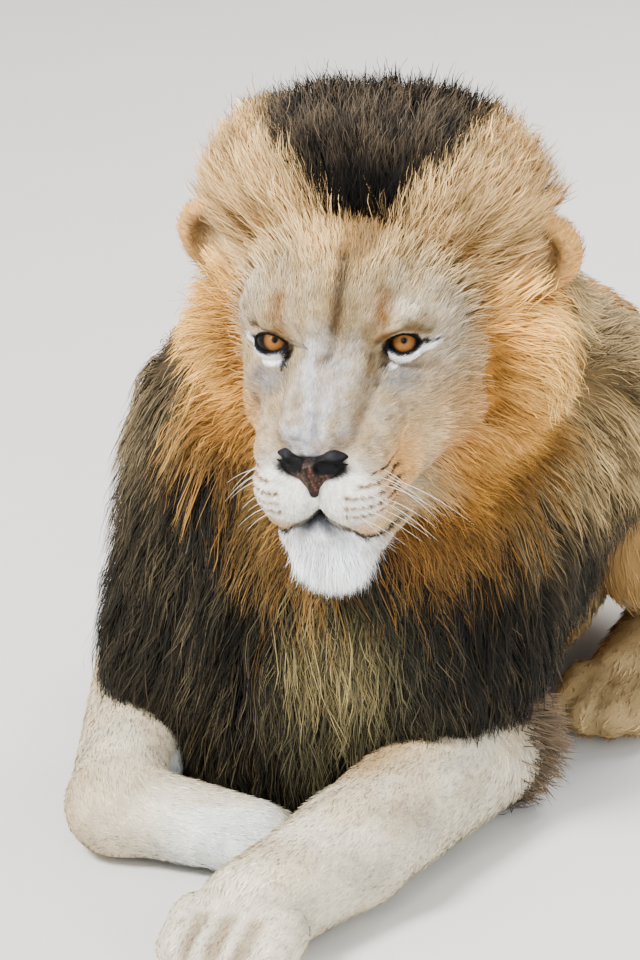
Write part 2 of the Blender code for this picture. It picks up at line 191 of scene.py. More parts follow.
def limb(start, end, first, last, blend=1.2, sign=1):
    """A tapered limb with round ends."""
    a, b = np.array(start, np.float32), np.array(end, np.float32)
    along = b - a
    length = float(np.linalg.norm(along))

    def distance(points):
        t = np.clip((points - a) @ along / length**2, 0, 1)
        away = points - (a + t[..., None] * along)
        return np.sqrt((away * away).sum(-1)) - (first + t * (last - first))

    return Shape((a + b) / 2, length / 2 + max(first, last), distance, blend, sign)


def limbs(blend, depth, *rows):
    """Limbs drawn in by the depth of their coat, from rows of start, end, and thickness at both."""
    return [limb(start, end, first - depth, last - depth, blend) for start, end, first, last in rows]


def both(shape, places, *sizes, **more):
    """The same shape on both sides of the head."""
    return [shape(*[(side * x, y, z) for x, y, z in places], *sizes, **more) for side in BOTH]


def blended(a, b, width):
    """The smooth union of two distances."""
    share = np.maximum(width - np.abs(a - b), 0) / width
    return np.minimum(a, b) - share * share * width * 0.25


class Field:
    """Distances on a grid between two corners. Each shape only touches the cells near it."""

    def __init__(self, box, cell, far=3.0):
        self.low, self.cell, self.far = np.array(box[0], float), cell, far
        self.count = np.ceil((np.array(box[1]) - self.low) / cell).astype(int) + 1
        self.values = np.full(self.count, far, np.float32)

    def window(self, centre, reach):
        first = np.clip(np.floor((centre - reach - self.low) / self.cell).astype(int), 0, self.count)
        last = np.clip(np.ceil((centre + reach - self.low) / self.cell).astype(int) + 1, 0, self.count)
        return tuple(slice(a, b) for a, b in zip(first, last, strict=True))

    def points(self, part):
        axes = [self.low[i] + self.cell * np.arange(part[i].start, part[i].stop) for i in range(3)]
        return np.stack(np.meshgrid(*axes, indexing="ij"), -1).astype(np.float32)

    def put(self, shapes):
        for shape in shapes:
            part = self.window(shape.centre, shape.reach + shape.blend + self.far)
            if any(piece.stop <= piece.start for piece in part):
                continue
            own = shape.distance(self.points(part))
            self.values[part] = shape.sign * blended(shape.sign * self.values[part], own, shape.blend)
        return self

    def join(self, other, width):
        self.values = blended(self.values, other.values, width)
        return self

    def at(self, points):
        """Distance and outward direction at these points."""
        place = (np.asarray(points, float) - self.low) / self.cell
        first = np.clip(np.floor(place).astype(int), 0, self.count - 2)
        tx, ty, tz = np.clip(place - first, 0, 1).T
        x, y, z = first.T
        cube = [[[self.values[x + i, y + j, z + k] for k in (0, 1)] for j in (0, 1)] for i in (0, 1)]
        lines = [[mix(*pair, tz) for pair in wall] for wall in cube]
        walls = [mix(*pair, ty) for pair in lines]
        rises = [mix(wall[0][1] - wall[0][0], wall[1][1] - wall[1][0], ty) for wall in cube]
        inside = ((place >= 0) & (place <= self.count - 1)).all(-1)
        value = np.where(inside, mix(*walls, tx), self.far)
        slope_y = mix(lines[0][1] - lines[0][0], lines[1][1] - lines[1][0], tx)
        return value, unit(np.stack([walls[1] - walls[0], slope_y, mix(*rises, tx)], -1))

    def surface(self):
        """Corners and four-sided faces of the zero level, by surface nets."""
        inside = self.values < 0
        cube = [(i, j, k) for i in (0, 1) for j in (0, 1) for k in (0, 1)]
        shape = tuple(n - 1 for n in self.count)
        shifts = [tuple(slice(i, i + n) for i, n in zip(at, shape)) for at in cube]
        total = sum(inside[shift].astype(np.int8) for shift in shifts)
        crossed = np.argwhere((total > 0) & (total < 8))
        index = np.full(shape, -1, np.int64)
        index[tuple(crossed.T)] = np.arange(len(crossed))
        spots, weight = np.zeros((len(crossed), 3)), np.zeros(len(crossed))
        edges = [(at, axis) for at in cube for axis in range(3) if not at[axis]]
        for a, axis in edges:
            step = np.eye(3, dtype=int)[axis]
            va = self.values[tuple((crossed + a).T)].astype(float)
            vb = self.values[tuple((crossed + a + step).T)].astype(float)
            cross = (va < 0) != (vb < 0)
            t = np.where(cross, va / np.where(cross, va - vb, 1), 0)
            spots += np.where(cross[:, None], np.array(a) + t[:, None] * step, 0)
            weight += cross
        corners = self.low + self.cell * (crossed + spots / weight[:, None])
        faces = []
        for axis in range(3):
            u, v = (axis + 1) % 3, (axis + 2) % 3
            here = inside[tuple(slice(int(i != axis), n) for i, n in enumerate(shape))]
            there = inside[tuple(slice(1, n + (i == axis)) for i, n in enumerate(shape))]
            for start, end, turn in ((here, there, 1), (there, here, -1)):
                cells = np.argwhere(start & ~end) + (np.arange(3) != axis)
                quad = []
                for du, dv in ((0, 0), (-1, 0), (-1, -1), (0, -1)):
                    at = cells.copy()
                    at[:, u] += du
                    at[:, v] += dv
                    quad.append(index[tuple(at.T)])
                faces.append(np.stack(quad, -1)[:, ::turn])
        return corners, np.concatenate(faces)


def corner_normals(corners, faces):
    sides = corners[faces]
    face = np.cross(sides[:, 2] - sides[:, 0], sides[:, 3] - sides[:, 1])
    normals = np.zeros_like(corners)
    for i in range(4):
        np.add.at(normals, faces[:, i], face)
    return unit(normals)


def ease(corners, faces, rounds, weight=0.5):
    """Relaxes a surface a little, so that the grid's steps don't show."""
    pairs = np.concatenate([faces[:, [i, (i + 1) % 4]] for i in range(4)])
    for step in range(rounds):
        total, count = np.zeros_like(corners), np.zeros(len(corners))
        for a, b in ((0, 1), (1, 0)):
            for axis in range(3):
                total[:, axis] += np.bincount(pairs[:, a], corners[pairs[:, b], axis], len(corners))
            count += np.bincount(pairs[:, a], minlength=len(corners))
        move = total / count[:, None] - corners
        corners = corners + (weight if step % 2 == 0 else -weight * 1.02) * move
    return corners


def smooth_surface(field, rounds, weight=0.5, floor=None):
    """A field's surface: corners, faces and normals."""
    corners, faces = field.surface()
    corners = ease(corners, faces, rounds, weight)
    if floor is not None:
        corners[:, 2] = np.maximum(corners[:, 2], floor)
    return corners, faces, corner_normals(corners, faces)


# ---- head form, in head places: left, back and up of the point between the eyes ----------------

EYE_OUT = {1.0: 7.3, -1.0: 7.62}  # how far each eye is from the middle of the face
EYE_RISE = {1.0: 0.85, -1.0: 0.0}  # the left eye sits a little higher in this lion's face
ONLOOKER = np.array((0.321, -0.883, 0.342))  # towards whoever stands in front and to the left
LID_THICK = 0.34
INNER_CORNER = {1.0: (-39.0, 10.0), -1.0: (-54.0, 8.0)}  # degrees outwards and up, seen from the eye
OUTER_CORNER = (74.0, 13.0)
UPPER_LID, LOWER_LID = 47.5, -6.0  # degrees up, midway between the corners
LEAN = 0.06  # how far the middle of the face moves to the left with each centimetre up
NOSE = np.array((0.0, -NOSE_AHEAD, -NOSE_BELOW - 0.2))
LIPS = [  # the left half of the line where they meet
    (0.1, -11.6, -15.5), (3.0, -11.2, -17.3), (4.4, -10.4, -18.6), (6.2, -8.2, -19.2), (7.6, -5.0, -18.6),
]
HEAD_BOX, NOSE_BOX = ((-24, -16, -26), (24, 18, 14)), ((-7, -16, -14), (7, -6, -4))


def eye_place(side):
    return np.array((side * EYE_OUT[side], 0.0, EYE_RISE[side]))


def before_eye(side, reach):
    """A place this far out of an eye, the way that its opening faces."""
    return eye_place(side) + np.array((side * 0.27, -0.82, 0.5)) * reach


def lean(points):
    """The face as it really sits: its middle line leans, most at the chin, not at all at the ears."""
    moved = np.array(points, float)
    share = 1 - ramp(moved[..., 1], 2, 10)
    moved[..., 0] += LEAN * (np.maximum(moved[..., 2], -18) + 1) * share
    return moved


def arc_through(first, last, top):
    """The circle through two corners and a height midway: centre and radius."""
    half = (last[0] - first[0]) / 2
    sag = top - (first[1] + last[1]) / 2
    radius = (half * half + sag * sag) / (2 * abs(sag))
    return np.array((first[0] + half, top - math.copysign(radius, sag))), radius


def about_eye(points, side):
    """Degrees outwards and up as seen from an eye, and the distance from its middle."""
    away = points - eye_place(side)
    far = np.sqrt((away * away).sum(-1)) + 1e-6
    out = np.degrees(np.arctan2(side * away[..., 0], -away[..., 1]))
    up = np.degrees(np.arcsin(np.clip(away[..., 2] / far, -1, 1)))
    return out, up, far


def lid_gap(points, side):
    """Distance from the lids' edge, below zero where the eye is open, and degrees from each lid."""
    out, up, far = about_eye(points, side)
    spot = np.stack([out, up], -1)
    edges = []
    for height in (UPPER_LID, LOWER_LID):
        middle, radius = arc_through(INNER_CORNER[side], OUTER_CORNER, height)
        edges.append(np.linalg.norm(spot - middle, axis=-1) - radius)
    return np.radians(np.maximum(*edges)) * np.minimum(far, 2.6), *edges


def eye_opening(side):
    def distance(points):
        return lid_gap(points, side)[0].astype(np.float32)

    return Shape(before_eye(side, 1.6), 2.6, distance, 0.16, -1)


def head_shapes():
    made = [ball((0, 7.0, 3.4), (9.5, 9.8, 7.7)), ball((0, 0.8, 4.0), (7.1, 5.0, 5.0))]
    made += both(ball, [(5.8, -0.2, 3.9)], (4.0, 2.5, 1.9))  # brows
    made += both(ball, [(7.9, 4.6, 0.9)], (4.8, 4.9, 6.1))  # temples
    made += both(limb, [(1.7, -1.5, 0.6), (1.8, -9.4, -5.2)], 2.9, 2.45)  # bridge
    made += both(limb, [(7.6, 0.6, -4.8), (9.8, 8, -4.4)], 3.6, 4.3)  # cheekbones
    made += both(ball, [(8.0, 6.5, -9.5)], (5.5, 6.7, 6.9))
    made += both(limb, [(4.7, -0.6, -5.4), (4.2, -8.0, -8.8)], 4.0, 3.5)
    made += both(limb, [(5.8, 1.5, -11.8), (4.4, -6.0, -13.0)], 4.7, 3.8)
    made += both(ball, [(3.6, -8.5, -12.7)], (4.2, 4.3, 4.3), blend=0.9)  # whisker pads
    made += both(ball, [(4.5, -7.6, -15.0)], (2.9, 3.2, 3.7), blend=0.9)  # the flews below them
    return made + [ball((0, -10.0, -8.8), (3.5, 2.3, 3.2)), ball((0, 6.5, -12), (8.2, 7.7, 6.7))]


def face_folds():
    """What is cut and laid over the plain head: sockets, lids, furrows."""
    made = []
    for side in BOTH:
        made.append(ball(before_eye(side, 3.3), (2.7, 2.3, 2.0), blend=1.3, sign=-1))
        made.append(ball(eye_place(side), EYE_RADIUS + LID_THICK, blend=0.45))
    made += both(limb, [(4.6, -2.3, 2.5), (7.4, -2.0, 3.5)], 0.8, 0.9, blend=0.9)  # fold of the upper lid
    made += both(limb, [(7.4, -2.0, 3.5), (9.8, 0.4, 2.6)], 0.9, 0.6, blend=0.9)
    made += both(limb, [(4.5, -2.6, -2.0), (8.6, -1.9, -2.6)], 0.55, 0.5, blend=0.9)  # and of the lower
    made += both(limb, [(5.6, -2.5, -0.4), (4.7, -4.1, -3.6)], 0.36, 0.2, blend=0.6, sign=-1)  # tear line
    made += [eye_opening(side) for side in BOTH]
    made.append(limb((0, -4.6, 6.6), (0, -5.0, 1.6), 0.5, 0.35, blend=1.5, sign=-1))  # brow furrow
    made.append(limb((0, -12.9, -11.0), (0, -12.6, -15.6), 0.24, 0.4, blend=0.7, sign=-1))  # lip cleft
    return made


def jaw_shapes():
    made = both(limb, [(5.6, 3.0, -17.2), (2.8, -6.2, -19.0)], 4.1, 3.6, blend=1.0)
    made.append(ball((0, -7.2, -20.9), (4.7, 3.6, 4.2), blend=0.8))
    made.append(ball((0, -9.3, -17.5), (3.3, 2.0, 1.9), blend=0.8))  # lower lip
    made.append(ball((0, 1.0, -18.6), (5.6, 6.8, 5.2), blend=1.0))
    return made


def ear_shapes():
    made = []
    for side in BOTH:
        turn = (0, 0, side * 12)
        hollow = (side * (EAR_OUT - 0.6), EAR_BEHIND - 2.4, EAR_ABOVE)
        made.append(limb((side * 10.5, 12.5, 3.5), (side * 15.0, 14.5, 4.2), 3.8, 3.6))
        made.append(ball((side * EAR_OUT, EAR_BEHIND, EAR_ABOVE), (5.2, 1.9, 5.0), turn))
        made.append(ball(hollow, (4.0, 2.6, 3.8), turn, blend=0.6, sign=-1))
    return made


def head_field(cell):
    field = Field(HEAD_BOX, cell).put(head_shapes()).put(face_folds())
    field.join(Field(HEAD_BOX, cell).put(jaw_shapes()), 0.3)
    for pair in zip(LIPS, LIPS[1:]):
        field.put(both(limb, pair, 0.28, 0.24, blend=0.6, sign=-1))
    return field.put(ear_shapes())


def nose_field(cell):
    y, z = NOSE[1:]
    cut = {"blend": 0.25, "sign": -1}
    made = [ball((0, y + 1.3, z + 0.5), (3.3, 1.6, 1.35), blend=0.6)]
    made += both(limb, [(2.4, y + 1.2, z + 0.85), (3.9, y + 1.8, z + 0.4)], 1.1, 0.75, blend=0.6)  # wings
    made.append(limb((0, y + 1.0, z + 0.2), (0, y + 1.0, z - 3.7), 1.8, 0.5, blend=0.5))
    made += both(limb, [(2.2, y + 1.3, z - 0.4), (0.8, y + 1.1, z - 2.0)], 0.9, 0.6, blend=0.5)
    made.append(ball((-0.7, y + 0.2, z + 2.0), (2.2, 1.8, 1.0), blend=0.8, sign=-1))  # dip above it
    made += both(limb, [(1.45, y - 0.35, z + 0.35), (2.9, y + 0.35, z + 0.2)], 0.72, 0.62, **cut)  # nostrils
    made += both(limb, [(2.9, y + 0.35, z + 0.2), (4.3, y + 1.15, z + 0.75)], 0.6, 0.3, **cut)
    made += both(limb, [(1.6, y - 0.3, z - 0.1), (2.5, y + 0.2, z - 0.65)], 0.5, 0.4, **cut)
    made.append(limb((0, y - 0.75, z + 0.2), (0, y - 0.3, z - 3.4), 0.1, 0.16, blend=0.3, sign=-1))
    return Field(NOSE_BOX, cell, far=1.5).put(made)


# ---- body form, in the lion's own frame --------------------------------------------------------

BODY_BOX, MANE_BOX = ((-47, -66, -2), (50, 97, 78)), ((-42, -48, -2), (54, 52, 104))


def forelegs(depth):
    slim = 0.6 * depth  # how much the toes are drawn in
    left_foot = off(LEFT_TOES, 0, 9, 0.8)
    made = limbs(2, depth, (LEFT_ELBOW, LEFT_WRIST, 8.3, 7.1), (LEFT_WRIST, left_foot, 7.1, 6.4))
    made += toes_of(LEFT_TOES, (-4.8, -1.7, 1.7, 4.8), (6, 0.6), 1.2, 3.5 - slim, 3.2 - slim)
    made += limbs(2, depth, (RIGHT_ELBOW, RIGHT_WRIST, 8.0, 6.2), (RIGHT_WRIST, RIGHT_TOES, 5.9, 4.9))
    for gap in TOE_GAPS:
        start, end = off(LEFT_TOES, gap, 3.5, 3.6), off(LEFT_TOES, gap, -5.0, 0.4)
        made.append(limb(start, end, 0.5, 0.8, blend=1.3, sign=-1))
    for y in (-3.0, 0.0, 3.0):
        made += limbs(0.5, slim, (off(RIGHT_TOES, 0, y, 0), off(RIGHT_TOES, 3.6, y * 0.9, -0.8), 3.0, 2.8))
    return made


def toes_of(paw, across, behind, outer, first, last):
    """Four toes side by side, the middle two longer."""
    made = []
    for x in across:
        forward = -1.0 if abs(x) < 2 else outer
        made.append(limb(off(paw, x, *behind), off(paw, x, forward, -0.6), first, last, blend=0.5))
    return made


def trunk(depth):
    chest_low = Vector((SHOULDERS.x, SHOULDERS.y, BELLY_HEIGHT))
    loin_low = Vector((LOIN.x, LOIN.y, BELLY_HEIGHT))
    hips_low = Vector((HIPS.x, HIPS.y - 9, BELLY_HEIGHT - 1))
    made = limbs(5, depth, (SHOULDERS, LOIN, 19.5, 17.8), (LOIN, HIPS, 17.8, 15.0))
    made += limbs(5, depth, (chest_low, loin_low, 17.5, 18.6), (loin_low, hips_low, 18.6, 16.5))
    made.append(ball(off(SHOULDERS, 0, 2, 14), (8 - depth, 13 - depth, 8 - depth), blend=5))
    made.append(ball(off(HIPS, 0, 5, 1), (16 - depth, 15 - depth, 15 - depth), blend=4))
    made += limbs(4, depth, (off(SHOULDERS, 2, -8, 8), off(EYE_MID, -1, 12, -6), 13.0, 10.0))  # neck
    for elbow, out in ((LEFT_ELBOW, 15.5), (RIGHT_ELBOW, -14.0)):
        shoulder = Vector((SHOULDERS.x + out, -12.0, 30.0))
        blade = off(shoulder, -0.1 * out, 22, 16)
        made += limbs(3, depth, (blade, shoulder, 7.0, 6.0), (shoulder, off(elbow, 0, 0, 3), 6.0, 7.2))
    for side in BOTH:
        knee = Vector((HIPS.x + side * KNEE_OUT, KNEE_AHEAD + 3, KNEE_HEIGHT))
        made += limbs(3, depth, (off(HIPS, side * 10.5, -1, -3.5), knee, 14.6, 9.0))
    return made


def shanks(depth):
    made, slim = [], 0.6 * depth
    for side in BOTH:
        knee = Vector((HIPS.x + side * (KNEE_OUT + 1.5), KNEE_AHEAD + 2, KNEE_HEIGHT - 4))
        hock = Vector((HIPS.x + side * HOCK_OUT, HIPS.y - HOCK_AHEAD, HOCK_HEIGHT))
        toes = Vector((HIPS.x + side * (HOCK_OUT + 0.5), HIND_TOES_Y, 3.9))
        made.append(limb(knee, hock, 7.6 - depth, 4.6 - depth * 0.8, blend=1.5))
        made += limbs(1.5, depth * 0.8, (hock, off(toes, 0, 9, 0.6), 4.4, 4.8))
        made += toes_of(toes, (-4.2, -1.5, 1.5, 4.2), (7, 0.4), 1.0, 3.0 - slim, 2.8 - slim)
    return made


def tail_point(t):
    """The tail's middle line: down from the rump, then along the floor round the right side."""
    start = off(HIPS, -1, 18.5, -4)
    turn = math.radians(12 + 168 * t)
    reach = TAIL_LENGTH / math.radians(168)
    x = start.x - reach * (math.cos(math.radians(12)) - math.cos(turn))
    y = start.y + 0.42 * reach * (math.sin(turn) - math.sin(math.radians(12)))
    fall = max(0.0, 1.0 - t / 0.22)
    return Vector((x, y, TAIL_THICK * 0.8 + (start.z - TAIL_THICK) * fall * fall))


def tail(depth):
    made, steps = [], 30
    for step in range(steps):
        a, b = step / steps, (step + 1) / steps
        thick = [TAIL_THICK * (1.2 - 0.42 * t) - depth for t in (a, b)]
        made.append(limb(tail_point(a), tail_point(b), *thick, blend=0.5))
    return made


def body_field(cell):
    """The trunk and the limbs, each drawn in by the depth of its coat."""
    legs = Field(BODY_BOX, cell).put(forelegs(0.6)).put(shanks(0.6))
    return Field(BODY_BOX, cell).put(trunk(1.0)).put(tail(0.7)).join(legs, 1.5)


# ---- what the mane grows on --------------------------------------------------------------------

HALO = [
    ((8.2, 15, 11.4), (14.0, 10.0, 12.6)), ((-7.2, 15, 11.4), (14.0, 10.0, 12.6)),
    ((5.2, 12.5, -6), (18.2, 9.0, 14.6)), ((-5.2, 12.5, -6), (18.2, 9.0, 14.6)),
    ((0.2, 15, 10.6), (15.0, 10.5, 14.2)), ((0, 11.5, -12), (15, 9, 13.5)),
    ((0.0, 22, 3.5), (16.0, 12.0, 13.0)), ((-0.4, 31, -10.0), (19.0, 15.0, 14.0)),
]
MANE_LIMBS = [
    ((14, -8, 54), (7, 10, 42), 18.0, 19.0), ((-4, -5, 46), (-9, -9, 17), 15.5, 13.0),
    ((20, 1, 40), (20, -5, 22), 16.0, 14.0), ((12, -14, 38), (5, -14, 14), 13.5, 13.0),
    ((19, -12, 38), (17, -12, 20), 13.0, 12.0),
]
MANE_BALLS = [
    ((5, -15, 8), (15, 9, 10)), ((24, 12, 43), (19, 18, 18)), ((4, 12, 42), (26, 20, 19)),
    ((13, 14, 45), (21, 19, 17)), ((7, 12, 26), (27, 17, 20)),
]


def mane_field(cell, depth=3.4, far=9.0):
    """The part's own mane, drawn in by the depth of the hair."""
    made, spin = [], HEAD_TURN.astype(np.float32)
    for centre, radii in HALO:
        radii = np.array(radii) - np.array((1, 0.8, 1)) * depth
        made.append(ball(out_of_head(centre), radii, blend=3, spin=spin))
    made += limbs(4, depth, *MANE_LIMBS)
    for centre, radii in MANE_BALLS:
        made.append(ball(centre, [radius - depth for radius in radii], blend=4))
    return Field(MANE_BOX, cell, far).put(made)


mane_shape = mane_field(1.2)

# ---- colours -----------------------------------------------------------------------------------


def linear(rgb):
    """The light that a screen colour of 0 to 255 stands for."""
    value = np.asarray(rgb, float) / 255
    return np.where(value <= 0.04045, value / 12.92, ((value + 0.055) / 1.055) ** 2.4)


class Paint:
    """Layers of colour over places."""

    def __init__(self, points, colour):
        self.points, self.value = points, np.tile(linear(colour), (len(points), 1))

    def lay(self, mask, colour, strength=1.0):
        share = (np.clip(mask, 0, 1) * strength)[:, None]
        self.value = self.value * (1 - share) + linear(colour) * share

    def spot(self, centre, radii, soft, colour, strength=1.0):
        self.lay(near(self.points, centre, radii, soft), colour, strength)

    def stroke(self, spots, wide, soft, colour, strength=1.0):
        self.lay(polyline(self.points, spots, wide, soft), colour, strength)

    def grained(self, *waves):
        """The colours, made lighter and darker by waves: strength, size and seed of each."""
        grain = 1 + sum(strength * ripple(self.points, size, seed) for strength, size, seed in waves)
        return self.value * grain[:, None]


def whisker_spots():
    """Where the rows of whiskers leave the left pad."""
    spots = []
    for row in range(5):
        for step in range(2 + 2 * min(row, 2)):
            left = 6.6 - 1.15 * min(row, 2) - 0.1 * row + 0.78 * step
            spots.append((left, -12.3 + 0.075 * left * left, -9.4 - 1.2 * row - 0.1 * (left - 4)))
    return spots


WHISKERS = whisker_spots()
FLAT = np.array((1, 0.3, 1))  # makes little of how deep a place lies in the face
SCARS = [
    [(-2.2, -9.6, -5.4), (-0.6, -10.2, -5.2), (0.4, -10.6, -6.2)], [(3.3, -8.4, -2.0), (2.4, -8.0, -1.4)],
    [(1.9, -8.6, -3.4), (3.1, -8.2, -3.2), (3.3, -8.6, -4.4)], [(-1.5, -9.2, -4.6), (-2.4, -9.0, -5.0)],
]
CRESCENT = [(6.1, -1.6, -2.2), (6.9, -1.9, -1.7), (8.4, -1.8, -1.25), (9.5, -0.6, -0.95), (10.5, 0.6, -0.2)]
# painted shade: the dark line along the forehead's furrow
SHADED_FURROW = [(0.6, 1.0, 10.0), (0.9, -1.5, 8.4), (1.2, -3.6, 6.2), (0.5, -4.6, 3.0), (-0.2, -5.0, -0.6)]


def eye_paint(paint, points, side):
    """Lids, tear line, white crescent and brow of one eye, with painted shade under the brow, by the inner
    corner and over the upper lid.
    """
    rise, out_by = EYE_RISE[side], EYE_OUT[side] - EYE_OUT[1.0]

    def spots(*places):
        return [(side * (x + out_by), y, z + rise) for x, y, z in places]

    # painted shade: a brown streak down the brow's inner corner, where the brow shades the eye
    streak = polyline(points, spots((5.8, -1.4, 5.6), (5.7, -2.6, 3.6), (6.0, -2.4, 1.5)), 1.1, 0.8)
    paint.lay(streak * (0.75 + 0.25 * ripple(points, 0.8, 6)), (122, 86, 46), 0.95)
    # painted shade in the socket beside the eye's inner corner
    paint.stroke(spots((4.6, -3.4, 2.4), (5.4, -3.3, 0.6), (5.0, -3.6, -1.6)), 0.9, 0.8, (132, 108, 76), 0.6)
    # painted shade along the fold of the upper lid
    fold = spots((5.4, -3.2, 1.4), (6.6, -2.6, 2.4), (8.3, -2.3, 3.1), (10.1, 0.0, 1.5))
    paint.stroke(fold, 0.5, 0.8, (100, 78, 50), 0.85)
    gap, upper, lower = lid_gap(points, side)
    out, up, far = about_eye(points, side)
    under = np.radians(lower) * far
    below = (up < 14) * (out > INNER_CORNER[side][0] + 6) * (far < 5.0)
    white = ramp(under, 0.36, 0.5) * (1 - ramp(under, 1.45, 1.85)) * below * (1 - ramp(out, 74, 98))
    crescent = spots(*CRESCENT)
    white = np.maximum(white, polyline(points, crescent, 0.58, 0.3) * (under > 0.4))
    patch = near(points, (side * 7.4, -2.6, rise - 3.2), (2.3, 2.5, 1.5), 0.5)
    paint.lay(patch * (0.6 + 0.4 * ripple(points, 0.5, 5)), (116, 120, 130), 0.9)
    paint.lay(white, (255, 255, 253))
    paint.lay(ramp(under, 0.14, 0.2) * (1 - ramp(under, 0.34, 0.46)) * below, (84, 92, 110), 0.95)
    lids = (far < 2.9) * (far > 1.6)
    # painted shade: the bare upper lid in brown, under the brow
    paint.lay((1 - ramp(gap, 0.22, 0.36)) * lids * (lower < upper), (84, 64, 42))
    edge = np.where(lower > upper, 0.14, 0.1 + 0.1 * ramp(out, 10, 60))
    paint.lay((1 - ramp(gap, edge, edge + 0.08)) * lids, (8, 7, 8))
    inner = 5.75 if side > 0 else 5.7
    tear = spots((inner, -1.6, 0.1), (inner - 0.1, -2.1, -1.0), (inner - 0.35, -2.8, -2.5))
    tear = polyline(points * FLAT, [np.array(spot) * FLAT for spot in tear], 0.46, 0.4)
    paint.lay(tear * (far < 4.0), (30, 31, 38), 0.95)
    paint.stroke(spots((8.7, -0.9, 0.35), (9.8, 0.1, 0.15)), 0.42, 0.4, (12, 10, 10), 0.95)
    paint.stroke(spots((9.8, 0.1, 0.1), (11.0, 0.9, -0.1)), 0.2, 0.5, (34, 26, 22), 0.9)


def jaw_line(points):
    """Height above the line where the lips meet."""
    wide = np.abs(points[:, 0])
    return points[:, 2] - np.interp(wide, [spot[0] for spot in LIPS], [spot[2] for spot in LIPS])


def face_paint(points):
    """The face's markings at these head places, with painted shade in the forehead's furrow, down the
    bridge's sides, in the ears' hollows and in the nostrils.
    """
    x, y, z = points.T
    wide = np.abs(x)
    paint = Paint(points, (184, 170, 147))
    paint.lay(ramp(z, 1.5, 6.5), (184, 168, 140))
    paint.stroke([(0, -4, 1.5), (0, -11.5, -5.5)], 2.8, 0.6, (196, 194, 194))
    bruise = near(points, (0.2, -10.6, -5.6), (3.6, 3.0, 2.6))
    paint.lay(bruise * ramp(ripple(points, 1.3, 51), -0.4, 0.7), (138, 142, 156), 0.75)
    for side in BOTH:
        paint.spot((side * 9.5, 2, -6.5), (4.5, 6, 4.5), 0.6, (190, 166, 136), 0.85)
        paint.spot((side * 10.8, 5, -11.0), (4.0, 6, 5), 0.6, (196, 156, 106), 0.85)
        # painted shade down each side of the bridge
        paint.stroke([(side * 3.0, -5.4, -2.5), (side * 3.4, -10, -6.4)], 1.5, 0.7, (160, 142, 122))
        paint.spot((side * 11.5, 2.5, 2.0), (3.0, 4, 4.5), 0.5, (202, 190, 170), 0.7)
    paint.spot((-7.5, -2.5, -5.5), (3.0, 3.5, 3.6), 0.6, (158, 142, 122), 0.75)
    paint.spot((10.3, -3.0, -9.3), (2.8, 4.5, 3.4), 0.6, (232, 208, 170), 0.85)
    # painted shade: a broad soft shadow in the forehead's furrow
    paint.spot((1.0, -2.5, 5.6), (2.4, 3, 5.2), 0.8, (150, 130, 98), 0.8)
    paint.lay(ramp(ripple(points, 3.2, 52), 0.0, 0.8) * (wide < 14), (160, 138, 104), 0.5)
    paint.lay(ramp(ripple(points, 1.4, 53), 0.2, 0.8) * (wide < 14) * (z > -9), (140, 120, 92), 0.4)
    paint.lay(np.maximum(ramp(y, 4, 10), ramp(z, 7.5, 11)) * (z > -14), (206, 166, 108), 0.8)
    paint.lay(ramp(y, 0, 5) * (1 - ramp(z, -15, -10)), (190, 138, 76), 0.9)
    for scar in SCARS:
        paint.stroke(scar, 0.14, 0.5, (64, 60, 66), 0.8)
    for side in BOTH:
        paint.spot((side * 3.4, -10.5, -12.4), (4.4, 4.5, 4.4), 0.35, (240, 238, 230))
        paint.spot((side * 7.6, -5.8, -11.6), (2.6, 4.2, 4.2), 0.7, (216, 172, 116), 0.8)
        paint.spot((side * 5.6, -7.5, -16.6), (2.6, 4.0, 2.0), 0.6, (214, 182, 140), 0.7)
        paint.spot((side * 6.6, -2.5, -19.5), (2.6, 4.5, 3.4), 0.6, (178, 152, 116), 0.8)
    depth = jaw_line(points)
    chin = near(points, (0, -7.8, -20.5), (5.6, 6.4, 6.6), 0.3) * ramp(-depth, 0.0, 0.3)
    paint.lay(chin, (246, 248, 248))
    for spot in WHISKERS:
        for side in BOTH:
            place = np.array((side, 1, 1)) * spot * FLAT
            paint.lay(near(points * FLAT, place, (0.8, 1.0, 0.32), 0.5), (206, 156, 104), 0.45)
            paint.lay(near(points * FLAT, place, (0.36, 1.0, 0.25), 0.4), (26, 18, 16), 0.95)
    for side in BOTH:
        eye_paint(paint, points, side)
    paint.spot((9.2, -1.4, 5.6), (2.2, 2.5, 1.2), 0.6, (226, 218, 202), 0.6)
    # painted shade in the furrow
    paint.stroke(SHADED_FURROW, 0.66, 0.8, (70, 55, 37), 0.85)
    # painted shade: black skin behind the nose, seen through the nostrils
    paint.spot((0, -11.4, -8.7), (4.3, 2.2, 1.7), 0.15, (14, 10, 10))
    under_lip = ramp(y, -13.0, -12.0) * (y < -6.0) * (wide < 5.5)
    smoke = (1 - ramp(depth, -0.1, 0.1)) * ramp(depth, -2.4, -0.4) * (1 - ramp(wide, 0.8, 4.2)) * under_lip
    paint.lay(smoke, (44, 45, 54), 0.95)
    crease = ramp(y, -13, -9) * (1 - ramp(np.abs(depth), 0.22, 0.36)) * (wide < 7.6) * (y < -3)
    paint.lay(crease, (18, 16, 17), 0.95)
    paint.stroke([(-0.2, -12.6, -11.6), (-0.4, -12.4, -16.0)], 0.24, 0.4, (28, 24, 25), 0.9)
    ear = ramp(wide, 12.5, 15.0) * ramp(y, 8, 11)
    paint.lay(ear, (214, 174, 122))
    # painted shade in the ear's hollow
    paint.lay(ear * near(np.abs(points), (17.9, 12.6, 4.6), (4.6, 3.0, 4.4), 0.2), (96, 72, 50), 0.8)
    paint.lay(ear * near(np.abs(points), (17.4, 12.2, 4.4), (3.6, 3.0, 3.5), 0.3), (228, 204, 166))
    paint.lay(ear * ramp(y, 15.2, 16.4), (60, 46, 36), 0.8)
    return paint.grained((0.10, 2.6, 3), (0.12, 0.9, 4), (0.08, 0.45, 7))


